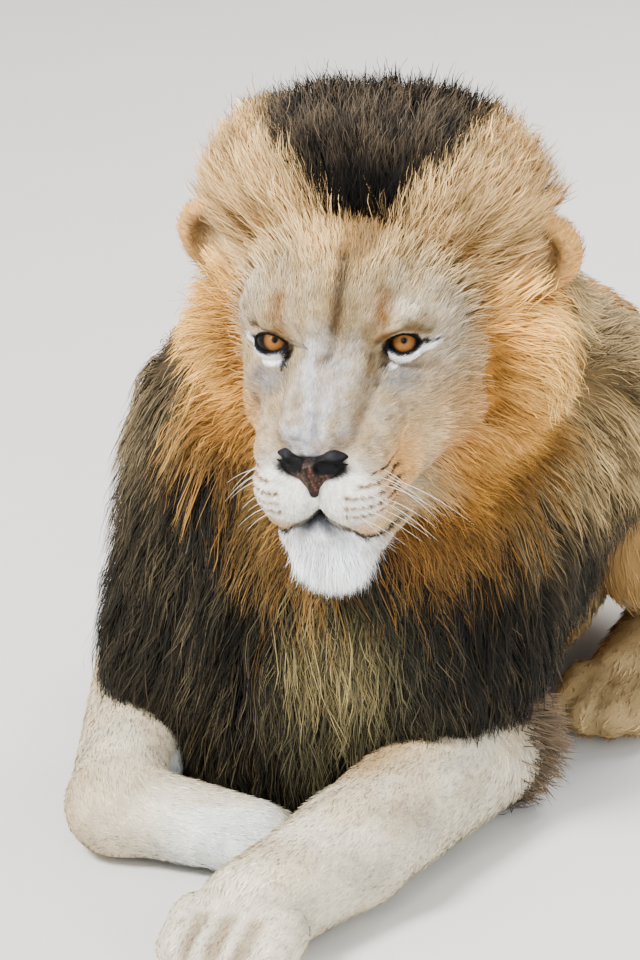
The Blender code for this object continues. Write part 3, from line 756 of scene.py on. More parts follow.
def body_paint(points):
    """The markings of the trunk, the legs and the tail, in the lion's own frame, with painted shade in the
    toe grooves and under the mane.
    """
    x, y, z = points.T
    paint = Paint(points, (176, 146, 104))
    paint.lay(ramp(z, 30, 50), (160, 126, 84))
    paint.lay(1 - ramp(z, 4, 20), (190, 166, 128), 0.8)
    left = near_line(points, LEFT_ELBOW, LEFT_TOES, 14, 0.3)
    right = near_line(points, RIGHT_ELBOW, RIGHT_TOES, 19, 0.5)
    legs = np.maximum(left * (1 - ramp(y, 0, 9)), right * (1 - ramp(y, 8, 18)))
    paint.lay(legs, (226, 218, 200))
    patch = np.clip(0.5 + 1.3 * ripple(points, 9, 21), 0, 1)
    paint.lay(legs * patch * ramp(z, 7, 12), (208, 186, 150), 0.4)
    paint.lay(near_line(points, (-8, -24, 5), (6, -34, 4), 6.5, 0.4) * (z < 9), (232, 236, 236), 0.8)
    paint.stroke([off(LEFT_ELBOW, -4, -9, 7), off(LEFT_ELBOW, -6, -24, 6)], 3.4, 0.9, (190, 164, 126), 0.8)
    paint.stroke([off(RIGHT_ELBOW, -1, 4, 7), off(RIGHT_ELBOW, -2, -6, 5)], 3.6, 0.9, (190, 164, 126), 0.8)
    # painted shade in the grooves between the left toes
    for gap in TOE_GAPS:
        groove = off(LEFT_TOES, gap, 3.0, 3.0), off(LEFT_TOES, gap, -5.0, 0.0)
        paint.stroke(groove, 0.9, 0.6, (128, 104, 78), 0.6)
    paint.lay((np.abs(x - HIPS.x) > 15) * (z < 16) * (y > 15) * 1.0, (198, 176, 138), 0.7)
    elbow = near(points, off(LEFT_ELBOW, 3, 2.5, 1), (6.0, 6.0, 6.5), 1.1)
    elbow = np.maximum(elbow, near(points, off(RIGHT_ELBOW, -1, 11, 1), (6.0, 5.5, 6.5), 0.9))
    paint.lay(elbow, (104, 88, 70), 0.85)
    # painted shade: dark skin deep under the mane, like the mane's roots
    paint.lay(1 - ramp(mane_shape.at(points)[0], 1.0, 3.5), (36, 30, 24))
    paint.lay(1 - ramp(np.linalg.norm(points - np.array(tail_point(1.0)), axis=1), 5, 12), (38, 30, 24))
    return paint.grained((0.12, 7, 22), (0.08, 1.8, 23))


# ---- materials ---------------------------------------------------------------------------------


class Look:
    """A material in the making: its shader, and the nodes that feed it."""

    def __init__(self, name, rough, specular):
        self.material = bpy.data.materials.new(name)
        self.material.use_nodes = True
        self.tree = self.material.node_tree
        self.shader = self.tree.nodes["Principled BSDF"]
        self.feed(self.shader, {"Roughness": rough, "Specular IOR Level": specular})

    def feed(self, node, inputs):
        """Sets a node's inputs, or links them where another node's output is given."""
        for key, value in inputs.items():
            if isinstance(value, bpy.types.NodeSocket):
                self.tree.links.new(value, node.inputs[key])
            else:
                node.inputs[key].default_value = value

    def node(self, kind, inputs, operation=None):
        """The outputs of a new node."""
        node = self.tree.nodes.new("ShaderNode" + kind)
        if operation:
            node.operation = operation
        self.feed(node, inputs)
        return node.outputs

    def texture(self, kind, scale, detail=None):
        """A texture over the piece's own places."""
        inputs = {"Scale": scale, "Vector": self.node("TexCoord", {})["Object"]}
        if detail is not None:
            inputs["Detail"] = detail
        return self.node("Tex" + kind, inputs)["Fac" if kind == "Noise" else "Distance"]

    def shades(self, amount, stops):
        """A colour by an amount from 0 to 1, from places and screen colours."""
        node = self.tree.nodes.new("ShaderNodeValToRGB")
        elements = node.color_ramp.elements
        while len(elements) < len(stops):
            elements.new(0.5)
        for element, (place, rgb) in zip(elements, stops, strict=True):
            element.position, element.color = place, (*linear(rgb), 1)
        self.feed(node, {"Fac": amount})
        return node.outputs["Color"]

    def colour(self, colour, texture, low, high):
        """Gives the shader a colour, made darker and lighter by a texture."""
        spread = self.node("MapRange", {"To Min": low, "To Max": high, "Value": texture})["Result"]
        scaled = self.node("VectorMath", {0: colour, "Scale": spread}, "SCALE")["Vector"]
        self.feed(self.shader, {"Base Color": scaled})


def graded_material(name, rough, specular, scale, dark, light):
    """A colour that drifts between two shades."""
    look = Look(name, rough, specular)
    shades = look.shades(look.texture("Noise", scale, 3.0), [(0.0, dark), (1.0, light)])
    look.feed(look.shader, {"Base Color": shades})
    return look.material


def coat_material(name, rough, specular, texture=("Noise", 90.0, 3.0), spread=(0.82, 1.18), bump=None):
    """The colours painted on a piece, with a fine texture, and a bump's strength and depth in metres."""
    look = Look(name, rough, specular)
    painted = look.tree.nodes.new("ShaderNodeAttribute")
    painted.attribute_name = "coat"
    height = look.texture(*texture)
    look.colour(painted.outputs["Color"], height, *spread)
    if bump:
        bent = look.node("Bump", {"Strength": bump[0], "Distance": bump[1], "Height": height})["Normal"]
        look.feed(look.shader, {"Normal": bent})
    return look.material


VIVID = 1.15  # how far colours are pushed from grey, as the studio light dulls them
DEEP = 1.2  # and how much darker the dark ones are made


# ---- pieces from surfaces ----------------------------------------------------------------------


def fill(data, field, values, kind=np.float32):
    data.foreach_set(field, np.ascontiguousarray(values, kind).ravel())


def show(name, mesh, material):
    piece = bpy.data.objects.new(name, mesh)
    bpy.context.scene.collection.objects.link(piece)
    mesh.materials.append(material)
    return piece


def mesh_object(name, points, faces, material, colours=None, normals=None, uvs=None):
    """A piece from packed-frame metres and faces, with its colours, normals and bake map."""
    mesh = bpy.data.meshes.new(name)
    mesh.vertices.add(len(points))
    fill(mesh.vertices, "co", points)
    mesh.loops.add(faces.size)
    fill(mesh.loops, "vertex_index", faces, np.int32)
    mesh.polygons.add(len(faces))
    fill(mesh.polygons, "loop_start", np.arange(0, faces.size, faces.shape[1]), np.int32)
    mesh.update(calc_edges=True)
    mesh.shade_smooth()
    if colours is not None:
        grey = colours.mean(1, keepdims=True)
        colours = np.maximum(grey + VIVID * (colours - grey), 0.002) ** DEEP
        layer = mesh.attributes.new("coat", "FLOAT_COLOR", "POINT")
        fill(layer.data, "color", np.concatenate([colours, np.ones((len(colours), 1))], 1))
    if uvs is not None:
        fill(mesh.uv_layers.new(name="OFBake").uv, "vector", uvs[faces.ravel()])
    if normals is not None:
        fill(mesh.attributes.new("custom_normal", "FLOAT_VECTOR", "POINT").data, "vector", normals)
    piece = show(name, mesh, material)
    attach(piece, "root")
    return piece


def above_floor(points, gap=FLOOR_GAP):
    points[..., 2] = np.maximum(points[..., 2], gap)


def across_of(along, normals, twist):
    """The ribbon's sideways direction: across the hair, in the skin's plane, turned by the twist."""
    side = unit(np.cross(along, normals))
    return side * np.cos(twist)[..., None] + np.cross(side, along) * np.sin(twist)[..., None]


def in_pairs(rows):
    """Each of a strip's rows twice, for its left and right edge, and the last one once."""
    return np.concatenate([np.repeat(rows[:, :-1], 2, axis=1), rows[:, -1:]], axis=1)


def ribbons(paths, widths, normals, twist, roots, tips, uvs, taper=0.35):
    """Thin strips along (N, S, 3) paths, ending in a point. Colours run from roots to tips."""
    count, steps = paths.shape[:2]
    along = unit(np.gradient(paths, axis=1))
    twist = np.broadcast_to(twist[:, None], (count, steps))
    side = across_of(along, np.broadcast_to(normals, paths.shape), twist)
    t = np.linspace(0, 1, steps)
    half = side * (0.5 * widths[:, None] * (1 - taper * t))[..., None]
    own = 2 * steps - 1
    points = np.empty((count, own, 3))
    points[:, 0:-1:2], points[:, 1:-1:2] = (paths - half)[:, :-1], (paths + half)[:, :-1]
    points[:, -1] = paths[:, -1]
    colours = mix(roots[:, None], tips[:, None], in_pairs(t[None])[..., None])
    up = unit(normals - along * (normals * along).sum(-1, keepdims=True) * 0.75)
    edge_lean = np.array((-0.35, 0.35) * (steps - 1) + (0.0,))[:, None]
    up = unit(in_pairs(up) + in_pairs(side) * edge_lean)
    strip = [(a, a + 1, a + 3, a, a + 3, a + 2) for a in range(0, 2 * steps - 4, 2)]
    strip = np.array([*np.ravel(strip), own - 3, own - 2, own - 1]).reshape(-1, 3)
    triangles = (np.arange(count) * own)[:, None, None] + strip
    maps = uvs[:, None] + np.stack([np.tile((0, 1), steps)[:own], np.linspace(0, 1, own)], -1) * 0.003
    return [points.reshape(-1, 3), triangles.reshape(-1, 3)] + [
        rows.reshape(-1, rows.shape[-1]) for rows in (colours, up, maps)
    ]


MOST_IN_PIECE = 190000  # triangles
MADE = {"triangles": 0}


def coat_piece(name, material, strips, steps):
    """One or more pieces of the coat, each under the limit of triangles."""
    points, triangles, *looks = strips
    total = len(triangles)
    MADE["triangles"] += total
    parts = math.ceil(total / MOST_IN_PIECE)
    per_strip, corners_each = 2 * steps - 3, 2 * steps - 1
    strip_count = total // per_strip
    for part in range(parts):
        first, last = strip_count * part // parts, strip_count * (part + 1) // parts
        own = slice(first * corners_each, last * corners_each)
        faces = triangles[first * per_strip : last * per_strip] - first * corners_each
        looks_here = [look[own] for look in looks]
        piece = mesh_object(f"{name}_{part + 1}", packed(points[own]), faces, material, *looks_here)


def head_piece(name, strips, steps):
    """A piece of the coat that was grown in head places."""
    points, triangles, colours, normals, uvs = strips
    strips = out_of_head(lean(points)), triangles, colours, normals @ HEAD_TURN.T, uvs
    coat_piece(name, fur_look, strips, steps)


def scatter(surface, count, weight):
    """Random places on a surface, thicker where the weight is larger: places and normals."""
    corners, faces, normals = surface
    quads = corners[faces]
    area = 0.5 * np.linalg.norm(np.cross(quads[:, 2] - quads[:, 0], quads[:, 3] - quads[:, 1]), axis=1)
    share = np.cumsum(area * weight(quads.mean(1)))
    pick = np.searchsorted(share, RNG.uniform(0, share[-1], count))
    u, v = RNG.uniform(size=(2, count, 1))

    def spread(four):
        low, high = four[:, 0] * (1 - u) + four[:, 1] * u, four[:, 3] * (1 - u) + four[:, 2] * u
        return low * (1 - v) + high * v

    return spread(quads[pick]), unit(spread(normals[faces[pick]]))


def unwrap(points, centre, along=2):
    """A map over the form itself: round the centre's upright axis or its long one, and along it."""
    away = points - np.array(centre)
    turn = np.arctan2(away[:, 0], -away[:, 1] if along == 2 else away[:, 2])
    rise = away[:, along] / (110 if along == 2 else 160)
    return np.stack([0.5 + turn / (2 * math.pi) * 0.98, np.clip(0.5 + rise, 0.002, 0.995)], -1)


def head_map(places):
    return unwrap(places, (0, 4, -4)) * (0.6, 1) + (0.2, 0)


def body_map(places):
    return unwrap(places, (8, 10, 25), 1)


def tuft_strips(places, normals, along, length, width, lift, paint, uvs, dark, light, steps=3):
    """Short tufts that lie along the surface and rise towards their tips."""
    along = unit(along - normals * (along * normals).sum(-1, keepdims=True))
    t = np.linspace(0, 1, steps)[None, :, None]
    reach = length[:, None, None]
    rise = (lift[:, None, None] * t**0.8) * reach
    paths = places[:, None] + along[:, None] * reach * t + normals[:, None] * (rise - 0.04)
    tone = RNG.normal(1, 0.17, (len(places), 1))
    twist = RNG.normal(0, 0.5, len(places))
    return ribbons(paths, width, normals[:, None], twist, paint * dark * tone, paint * light * tone, uvs)


# ---- skin --------------------------------------------------------------------------------------

THIN = 1.0
HEAD_END = 17.5  # how far back the skin of the head goes
FLESH = ["chest", "ear_left", "ear_right", "forearm_left", "forearm_right", "forepaw_left", "forepaw_right"]
FLESH += ["head", "hind_foot_left", "hind_foot_right", "jaw", "neck", "rump", "shank_left", "shank_right"]
FLESH += ["shoulders", "tail", "thigh_left", "thigh_right", "trunk"]


def head_surface(field):
    """The head's skin, open at the back where the neck and the mane cover it."""
    corners, faces = field.surface()
    keep = corners[faces][:, :, 1].min(1) < HEAD_END
    used, faces = np.unique(faces[keep], return_inverse=True)
    faces = faces.reshape(-1, 4)
    corners = ease(corners[used], faces, 2, 0.4)
    return corners, faces, corner_normals(corners, faces)


def make_skin():
    """One skin over the head, the trunk, the legs and the tail."""
    (head_corners, head_faces), (body_corners, body_faces) = HEAD_SKIN[:2], BODY_SKIN[:2]
    points = np.concatenate([packed(out_of_head(lean(head_corners))), packed(body_corners)])
    faces = np.concatenate([head_faces, body_faces + len(head_corners)])
    # the skin is painted darker than the fur, as shade between the tufts
    colours = np.concatenate([face_paint(head_corners), body_paint(body_corners)]) * 0.8
    look = coat_material("skin", 0.75, 0.1, ("Noise", 400.0, 4.0), (0.75, 1.15), (0.5, 0.002))
    skin = mesh_object("skin", points, faces, look, colours)
    skin.data.validate()
    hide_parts(*FLESH)


head = head_field(0.22)
HEAD_SKIN = head_surface(head)
BODY_SKIN = smooth_surface(body_field(0.75), 4, 0.5, FLOOR_GAP)
make_skin()

# ---- eyes, nose, whiskers ----------------------------------------------------------------------

# The eye's rings, as shares of IRIS_REACH from its axis: pupil, iris, and the dark rim beyond it.
EYE_RINGS = [
    (0.0, (2, 2, 2)), (0.125, (3, 2, 2)), (0.155, (62, 38, 17)), (0.24, (116, 78, 36)),
    (0.42, (112, 71, 28)), (0.52, (92, 56, 22)), (0.60, (58, 34, 14)), (0.64, (12, 8, 7)),
    (0.74, (9, 7, 6)), (0.86, (9, 7, 6)),
]
IRIS_REACH = 0.020  # metres


def eye_material():
    """Pupil, iris and dark rim by the distance from the eye's own axis, with a wet coat."""
    look = Look("eye", 0.4, 0.05)
    split = look.node("SeparateXYZ", {"Vector": look.node("TexCoord", {})["Object"]})
    flat = look.node("CombineXYZ", {"X": split["X"], "Y": split["Y"]})["Vector"]
    length = look.node("VectorMath", {0: flat}, "LENGTH")["Value"]
    ring = look.node("MapRange", {"From Max": IRIS_REACH, "Value": length})["Result"]
    look.colour(look.shades(ring, EYE_RINGS), look.texture("Noise", 420.0, 4.0), 0.6, 1.4)
    look.feed(look.shader, {"Coat Weight": 0.09, "Coat Roughness": 0.03})
    return look.material


def eyeball(rings=40, turns=48):
    """A ball's points and faces round the z axis, with the cornea's swelling at the top."""
    points = [(0, 0, 1)]
    for ring in range(1, rings):
        angle = math.pi * ring / rings
        bulge = 1 + 0.06 * max(0.0, math.cos(angle) - 0.80) / 0.20
        for turn in range(turns):
            around, wide = 2 * math.pi * turn / turns, math.sin(angle)
            points.append((wide * math.cos(around), wide * math.sin(around), math.cos(angle) * bulge))
    last = len(points)
    points.append((0, 0, -1))
    faces = [(0, 1 + turn, 1 + (turn + 1) % turns) for turn in range(turns)]
    for ring in range(rings - 2):
        for turn in range(turns):
            a, b = 1 + ring * turns + turn, 1 + ring * turns + (turn + 1) % turns
            faces.append((a, a + turns, b + turns, b))
    faces += [(last, last - turns + (turn + 1) % turns, last - turns + turn) for turn in range(turns)]
    return [[axis * EYE_RADIUS * CM for axis in point] for point in points], faces


def make_eyes(material):
    for name, side in (("left", 1.0), ("right", -1.0)):
        points, faces = eyeball()
        mesh = bpy.data.meshes.new("eye_" + name)
        mesh.from_pydata(points, [], faces)
        mesh.shade_smooth()
        eye = show("eyeball_" + name, mesh, material)
        eye.rotation_mode = "QUATERNION"
        eye.rotation_quaternion = Vector(ONLOOKER).normalized().to_track_quat("Z", "Y")
        eye.location = Vector(packed(out_of_head(lean(eye_place(side)))))
        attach(eye, "root")
        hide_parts("eye_" + name)


def nose_paint(points):
    wide, y, z = np.abs(points[:, 0]), *NOSE[1:]
    height = points[:, 2]
    paint = Paint(points, (66, 50, 44))
    paint.lay(ramp(ripple(points, 0.55, 31), -0.1, 0.5), (34, 27, 26), 0.85)
    paint.lay(ramp(ripple(points, 0.4, 32), 0.35, 0.8), (118, 90, 76), 0.6)
    paint.lay(ramp(wide, 1.5, 2.8), (50, 49, 56), 0.85)
    paint.lay(ramp(height, z + 0.5, z + 1.2), (34, 33, 38), 0.8)
    paint.lay(1 - ramp(height, -12.1, -10.8), (36, 30, 30), 0.7)
    for side in BOTH:
        inner, middle = (side * 1.4, y + 0.1, z + 0.3), (side * 2.9, y + 0.7, z + 0.1)
        outer = (side * 4.4, y + 1.5, z + 0.7)
        nostril = near_line(points, inner, middle, 1.12, 0.15), near_line(points, middle, outer, 0.72, 0.2)
        # painted shade: the nostrils' hollows in near black
        paint.lay(np.maximum(*nostril), (9, 8, 9))
    return paint.value


def make_nose():
    corners, faces = smooth_surface(nose, 2, 0.4)[:2]
    look = coat_material("nose", 0.6, 0.12, ("Voronoi", 700.0), (0.8, 1.2), (0.35, 0.0006))
    places = packed(out_of_head(lean(corners)))
    leather = mesh_object("nose_leather", places, faces, look, nose_paint(corners))
    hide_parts("nose")


make_eyes(eye_material())
nose = nose_field(0.1)
make_nose()

# ---- short fur ---------------------------------------------------------------------------------

fur_look = coat_material("short_fur", 0.62, 0.22)
FACE_TUFTS, BODY_TUFTS, FRINGE_HAIRS = 84000, 52000, 20000
UNDER_MANE = 2.6  # how near the mane's ground no short fur grows, in centimetres
FACE_MIDDLE = np.array((0, -15.0, -7.0))  # where the face's fur runs away from


def face_weight(points):
    """How thickly the face's fur grows: none on the lids' edges, under the nose or deep in the mane."""
    weight = np.ones(len(points))
    for side in BOTH:
        weight *= (lid_gap(points, side)[0] >= 0.36) | (about_eye(points, side)[2] >= 4.5)
    weight *= nose.at(points)[0] > 0.2
    return weight * np.where(points[:, 1] > 7, 0.35, 1) * (1 + 0.8 * (points[:, 1] < 1))


def grow_face():
    places, normals = scatter(HEAD_SKIN, int(FACE_TUFTS * THIN), face_weight)
    x, y, z = places.T
    count = len(x)
    along = unit(places - FACE_MIDDLE)
    along[:, 2] += np.where(z > -2, 0.25, -0.25 * (z < -10))
    along += RNG.normal(0, 0.16, along.shape)
    ear = ramp(np.abs(x), 12, 14) * ramp(y, 8, 10)
    chin = near(places, (0, -7, -22.0), (5.5, 6.5, 4.0), 0.3)
    hanging = unit(np.stack([x * 0.06, np.full(count, -0.25), np.full(count, -1.0)], -1))
    hanging += RNG.normal(0, 0.2, along.shape)
    along = np.where(chin[:, None] > 0.3, hanging, along)
    length = 0.55 + 0.4 * ear + 2.6 * chin + (0.9 * ramp(y, -9, 6) + 0.5 * ramp(z, 7, 11)) * (1 - ear)
    for side in BOTH:
        length *= 0.5 + 0.5 * ramp(about_eye(places, side)[2], 2.4, 5.0)
    length *= RNG.uniform(0.75, 1.3, count)
    width = 0.062 * RNG.uniform(0.7, 1.3, count) * (0.8 + 0.5 * ramp(y, -6, 6))
    lift = 0.16 + 0.2 * RNG.uniform(size=count) + 0.2 * ear
    strips = tuft_strips(
        places, normals, along, length, width, lift, face_paint(places), head_map(places), 0.66, 1.2
    )
    head_piece("face_fur", strips, 3)


def fringe_weight(points):
    x, y, z = points.T
    sides = ramp(y, 2.0, 8.0) * (np.abs(x) < 13)
    throat = ramp(y, -3, 3) * (1 - ramp(z, -17, -12))
    weight = np.maximum(np.maximum(sides, ramp(z, 8.0, 10.0)), throat)
    return weight * (1 - ramp(y, 11, 14)) * (nose.at(points)[0] > 1)


def grow_fringe():
    """The longer hair round the face, which carries it over into the mane."""
    count, steps = int(FRINGE_HAIRS * THIN), 5
    places, normals = scatter(HEAD_SKIN, count, fringe_weight)
    x, y, z = places.T
    radial = unit(np.stack([x, 2.0 + 0.5 * np.abs(x), z + 5], -1))
    radial = unit(radial + RNG.normal(0, 0.14, radial.shape))
    top = ramp(z, 6, 10)
    length = 1.8 + 3.0 * fringe_weight(places) + 1.0 * top * ramp(y, -4, 4)
    length *= RNG.uniform(0.65, 1.25, count)
    length *= 1 - 0.55 * top * (1 - ramp(np.abs(x - 1.0), 3, 8))
    t = np.linspace(0, 1, steps)[None, :, None]
    lift = (0.2 + 0.22 * top + 0.08 * RNG.normal(size=count))[:, None, None]
    way = unit(radial[:, None] + normals[:, None] * lift * (1 - 0.6 * t))
    way = way + np.array((0, 0, -0.35)) * t * (1 - top)[:, None, None]
    paths = places[:, None] + np.cumsum(way, axis=1) * (length / steps)[:, None, None]
    paths[:, 0] = places - normals * 0.1
    paths += RNG.normal(0, 0.12, paths.shape) * t
    width = 0.075 * RNG.uniform(0.7, 1.4, count)
    tone = RNG.normal(1, 0.13, (count, 1))
    face = face_paint(places)
    tips = mix(face, mane_paint(out_of_head(places), True), 0.8) * tone
    twist = RNG.normal(0, 0.5, count)
    strips = ribbons(paths, width, normals[:, None], twist, face * 0.8 * tone, tips, head_map(places))
    head_piece("face_fringe", strips, steps)


def grow_whiskers():
    """Long stiff white whiskers from the pads."""
    starts, ways, lengths = [], [], []
    for spot in WHISKERS:
        for side in BOTH:
            if RNG.uniform() < 0.5:
                continue
            starts.append(np.array((side, 1, 1)) * spot)
            ways.append(unit(np.array((side * 0.95, 0.15, -0.5)) + RNG.normal(0, 0.14, 3)))
            lengths.append(RNG.uniform(3.0, 8.0) * (0.55 + 0.12 * (spot[0] - 2.5)) * (0.8 + 0.2 * side))
    starts, ways, lengths = np.array(starts), np.array(ways), np.array(lengths)[:, None, None]
    value, outward = head.at(starts)
    starts = starts - outward * (value + 0.1)[:, None]
    steps, turns = 9, 5
    t = np.linspace(0, 1, steps)[None, :, None]
    drop = np.array((0, 0.25, -1.0))
    paths = starts[:, None] + ways[:, None] * (lengths * t) + drop * (0.34 * lengths * t * t)
    across = unit(np.cross(ways, drop))
    other = unit(np.cross(ways, across))
    angle = np.linspace(0, 2 * math.pi, turns, endpoint=False)[:, None]
    ring = np.cos(angle) * across[:, None, None] + np.sin(angle) * other[:, None, None]
    points = paths[:, :, None] + ring * (0.034 * (1 - 0.85 * t)[..., None])
    index = np.arange(len(starts) * steps * turns).reshape(-1, steps, turns)
    nearer, further = index[:, :-1], index[:, 1:]
    faces = np.stack([nearer, np.roll(nearer, -1, 2), np.roll(further, -1, 2), further], -1).reshape(-1, 4)
    material = graded_material("whisker", 0.35, 0.5, 60.0, (226, 220, 208), (250, 248, 240))
    piece = mesh_object("whiskers", packed(out_of_head(lean(points.reshape(-1, 3)))), faces, material)


def body_bones():
    """Lines that the body's fur runs along: start, end, direction and thickness."""
    bones = [
        (off(SHOULDERS, 0, -8, 14), off(LOIN, 0, 0, 8), (0, 1, -0.25), 15), (LOIN, HIPS, (0, 1, -0.3), 15),
        (off(SHOULDERS, 0, 0, -20), off(LOIN, 0, 0, -18), (0, 1, -0.1), 15),
        (Vector((HIPS.x, 70, 36)), Vector((HIPS.x, 80, 10)), (0, 0.5, -1), 12),
    ]
    for side in BOTH:
        hip, knee = Vector((HIPS.x + side * 10, 62, 28)), Vector((HIPS.x + side * 22, 34, 22))
        hock, toes = Vector((HIPS.x + side * 21.5, 59, 7)), Vector((HIPS.x + side * 22, 18, 4))
        bones += [(hip, knee, (side * 0.3, -0.2, -1), 13), (knee, hock, (0, 0.6, -0.8), 7)]
        bones.append((hock, toes, (0, -1, -0.1), 5))
    for elbow, wrist, toes in ((LEFT_ELBOW, LEFT_WRIST, LEFT_TOES), (RIGHT_ELBOW, RIGHT_WRIST, RIGHT_TOES)):
        bones += [(elbow, wrist, wrist - elbow, 7), (wrist, toes, toes - wrist, 5.5)]
        bones.append((Vector((elbow.x, -12, 30)), elbow, (0, 0.3, -1), 9))
    for step in range(12):
        a, b = tail_point(step / 12), tail_point((step + 1) / 12)
        bones.append((a, b, b - a, 3.5))
    return bones


def body_flow(points):
    total = np.zeros_like(points)
    for start, end, way, thick in BONES:
        away = from_line(points, start, end) / thick
        total += (away[:, None] ** -6) * unit(np.array(way, float))
    return unit(total)


def body_weight(points):
    weight = np.where(mane_shape.at(points)[0] < UNDER_MANE, 0, 1.0)
    weight *= np.where((points[:, 1] < 5) * (points[:, 2] < 22), 3.6, 1.0)
    return weight * np.where(points[:, 2] < 0.6, 0.05, 1)


def grow_body():
    places, normals = scatter(BODY_SKIN, int(BODY_TUFTS * THIN), body_weight)
    x, y, z = places.T
    count = len(x)
    front = (y < 5) * (z < 22)
    forefeet = front & (z < 10) & (y < -28)
    hind_feet = (y > 15) & (y < 30) & (z < 9) & (np.abs(x - HIPS.x) > 14)
    length = np.where(front, 1.25, 2.1) * np.where(forefeet | hind_feet, 0.7, 1)
    length *= RNG.uniform(0.7, 1.3, count)
    width = np.where(front, 0.10, 0.2) * RNG.uniform(0.7, 1.3, count)
    along = body_flow(places) + RNG.normal(0, 0.14, places.shape)
    lift = 0.13 + 0.17 * RNG.uniform(size=count)
    strips = tuft_strips(
        places, normals, along, length, width, lift, body_paint(places), body_map(places), 0.8, 1.12
    )
    above_floor(strips[0])
    coat_piece("body_fur", fur_look, strips, 3)


BONES = body_bones()
grow_face()
grow_whiskers()
grow_body()

# ---- mane --------------------------------------------------------------------------------------

MANE_LOCKS, MANE_STRANDS, RING_LOCKS, RING_STRANDS = 3300, 18, 2250, 24
TAIL_HAIRS, ELBOW_TUFTS = 1500, 4200
MANE_GAP = 0.15  # how far the mane's ground stays above the floor

mane_corners, mane_faces, mane_normals = smooth_surface(mane_field(0.95, far=3.0), 4)
above_floor(mane_corners, MANE_GAP)
MANE_SKIN = mane_corners, mane_faces, mane_normals


def mane_zones(points):
    """The place in the head, how far outside the ring, and the shares of face ring, crest and chest."""
    local = in_head(points)
    x, y, z = local.T
    ring = np.hypot(x / 1.05, z + 5) + 0.8 * ripple(points, 6, 43)
    edge = 17.8 + 4.2 * (1 - ramp(z, -16, -8)) * ramp(np.abs(x - 0.5), 1, 8) + 12 * ramp(z, 0, 8)
    face = (1 - ramp(y, 18, 23)) * (1 - ramp(ring, edge, edge + 1.6))
    half = 0.5 + 1.15 * np.maximum(z - 9.0, 0) + 0.8 * ripple(points, 4, 44)
    crest = (1 - ramp(np.abs(x - 1.6), half - 0.8, half + 1.4)) * ramp(z, 7.0, 8.5)
    crest = crest * (1 - ramp(np.abs(x - 1.3), 11, 15))
    chest = ramp(-points[:, 1], 2, 12) * (1 - ramp(points[:, 2], 34, 46))
    return local, ring - edge, face, crest, chest


def mane_paint(points, tip):
    """Colour of the mane's locks at their roots or tips, by where they grow, with a painted glow on the face
    ring's rim and painted shade at the ring's lower edge.
    """
    local, outward, face, crest = mane_zones(points)[:4]
    x, y, z = local.T
    across, height = points[:, 0], points[:, 2]
    paint = Paint(points, (88, 78, 60) if tip else (44, 38, 30))

    def lay(mask, root, end, strength=1.0):
        paint.lay(mask, end if tip else root, strength)

    def patches(size, seed, low, high):
        return ramp(ripple(points, size, seed), low, high)

    lay(patches(5, 46, -0.2, 0.8) * ramp(height, 40, 58), (84, 70, 52), (186, 164, 128), 0.8)
    right = ramp(across, 20, 30) * ramp(height, 36, 48)
    lay(right * patches(6, 47, -1.7, -0.5), (150, 128, 94), (212, 188, 146), 0.9)
    left = 1 - ramp(across, -8, 0)
    lay(left * patches(5, 49, -1.0, 0.2), (104, 90, 68), (190, 172, 140), 0.9)
    line = 49.0 - 15 * ramp(across, 18, 32) - 7 * (1 - ramp(across, -17, -9)) + 2.5 * ripple(points, 8, 41)
    low = 1 - ramp(height, line - 5, line + 7)
    lay(low, (10, 9, 8), (32, 30, 24), 0.97)
    streaks = ramp(ripple(points * np.array((1, 1, 0.3)), 2.6, 52), 0.1, 1.0)
    lay(streaks * low, (22, 20, 16), (108, 97, 78), 0.8)
    middle = near(points, (14.5, -24, 24), (7.0, 14, 16), 0.4)
    lay(middle * patches(3.5, 45, -0.5, 0.4), (32, 30, 23), (104, 100, 80), 0.9)
    bright = near(points, (12, -27, 32), (5.0, 10, 7), 0.5)
    lay(bright * patches(3.0, 50, -0.6, 0.3), (62, 55, 36), (166, 152, 114), 0.9)
    lay(face, (142, 100, 54), (212, 168, 106))
    lay(face * ramp(z, -2, 5), (156, 122, 80), (234, 208, 164), 0.85)
    lay(face * near(local, (-16, 6, -10), (7, 12, 8), 0.5), (134, 90, 44), (200, 158, 100), 0.7)
    # painted light: a pale glow on the face ring's outer rim, as if lit from behind, stronger on the left
    # side
    rim = face * ramp(outward, -4.2, -1.8) * (1 - ramp(z, 2, 8)) * ramp(z, -20, -12)
    lay(rim * (0.55 + 0.45 * (x > 0)), (196, 146, 84), (255, 218, 150), 0.85)
    low_ring = face * (1 - ramp(z, -22, -13))
    lay(low_ring, (104, 70, 34), (172, 130, 72), 0.85)
    lay(low_ring * (1 - ramp(x, -9, -3)), (62, 52, 36), (112, 100, 70), 0.8)
    lay(crest, (9, 8, 8), (22, 19, 17))
    # painted shade under the chin: the lower ring's tips darker towards its edge
    if tip:
        paint.lay(face * (1 - ramp(z, -15, -9)) * ramp(outward, -5, -1), (104, 84, 56), 0.8)
    smoke = ramp(z, 13, 20) * (1 - ramp(np.abs(x - 1), 9, 15))
    lay(smoke * patches(3, 48, -0.9, 0.3), (24, 20, 17), (124, 110, 92), 0.75)
    back_of_crest = ramp(z, 4, 12) * ramp(y, 17, 22) * (1 - ramp(np.abs(x), 13, 20))
    lay(back_of_crest, (14, 12, 11), (40, 35, 29), 0.9)
    return paint.value


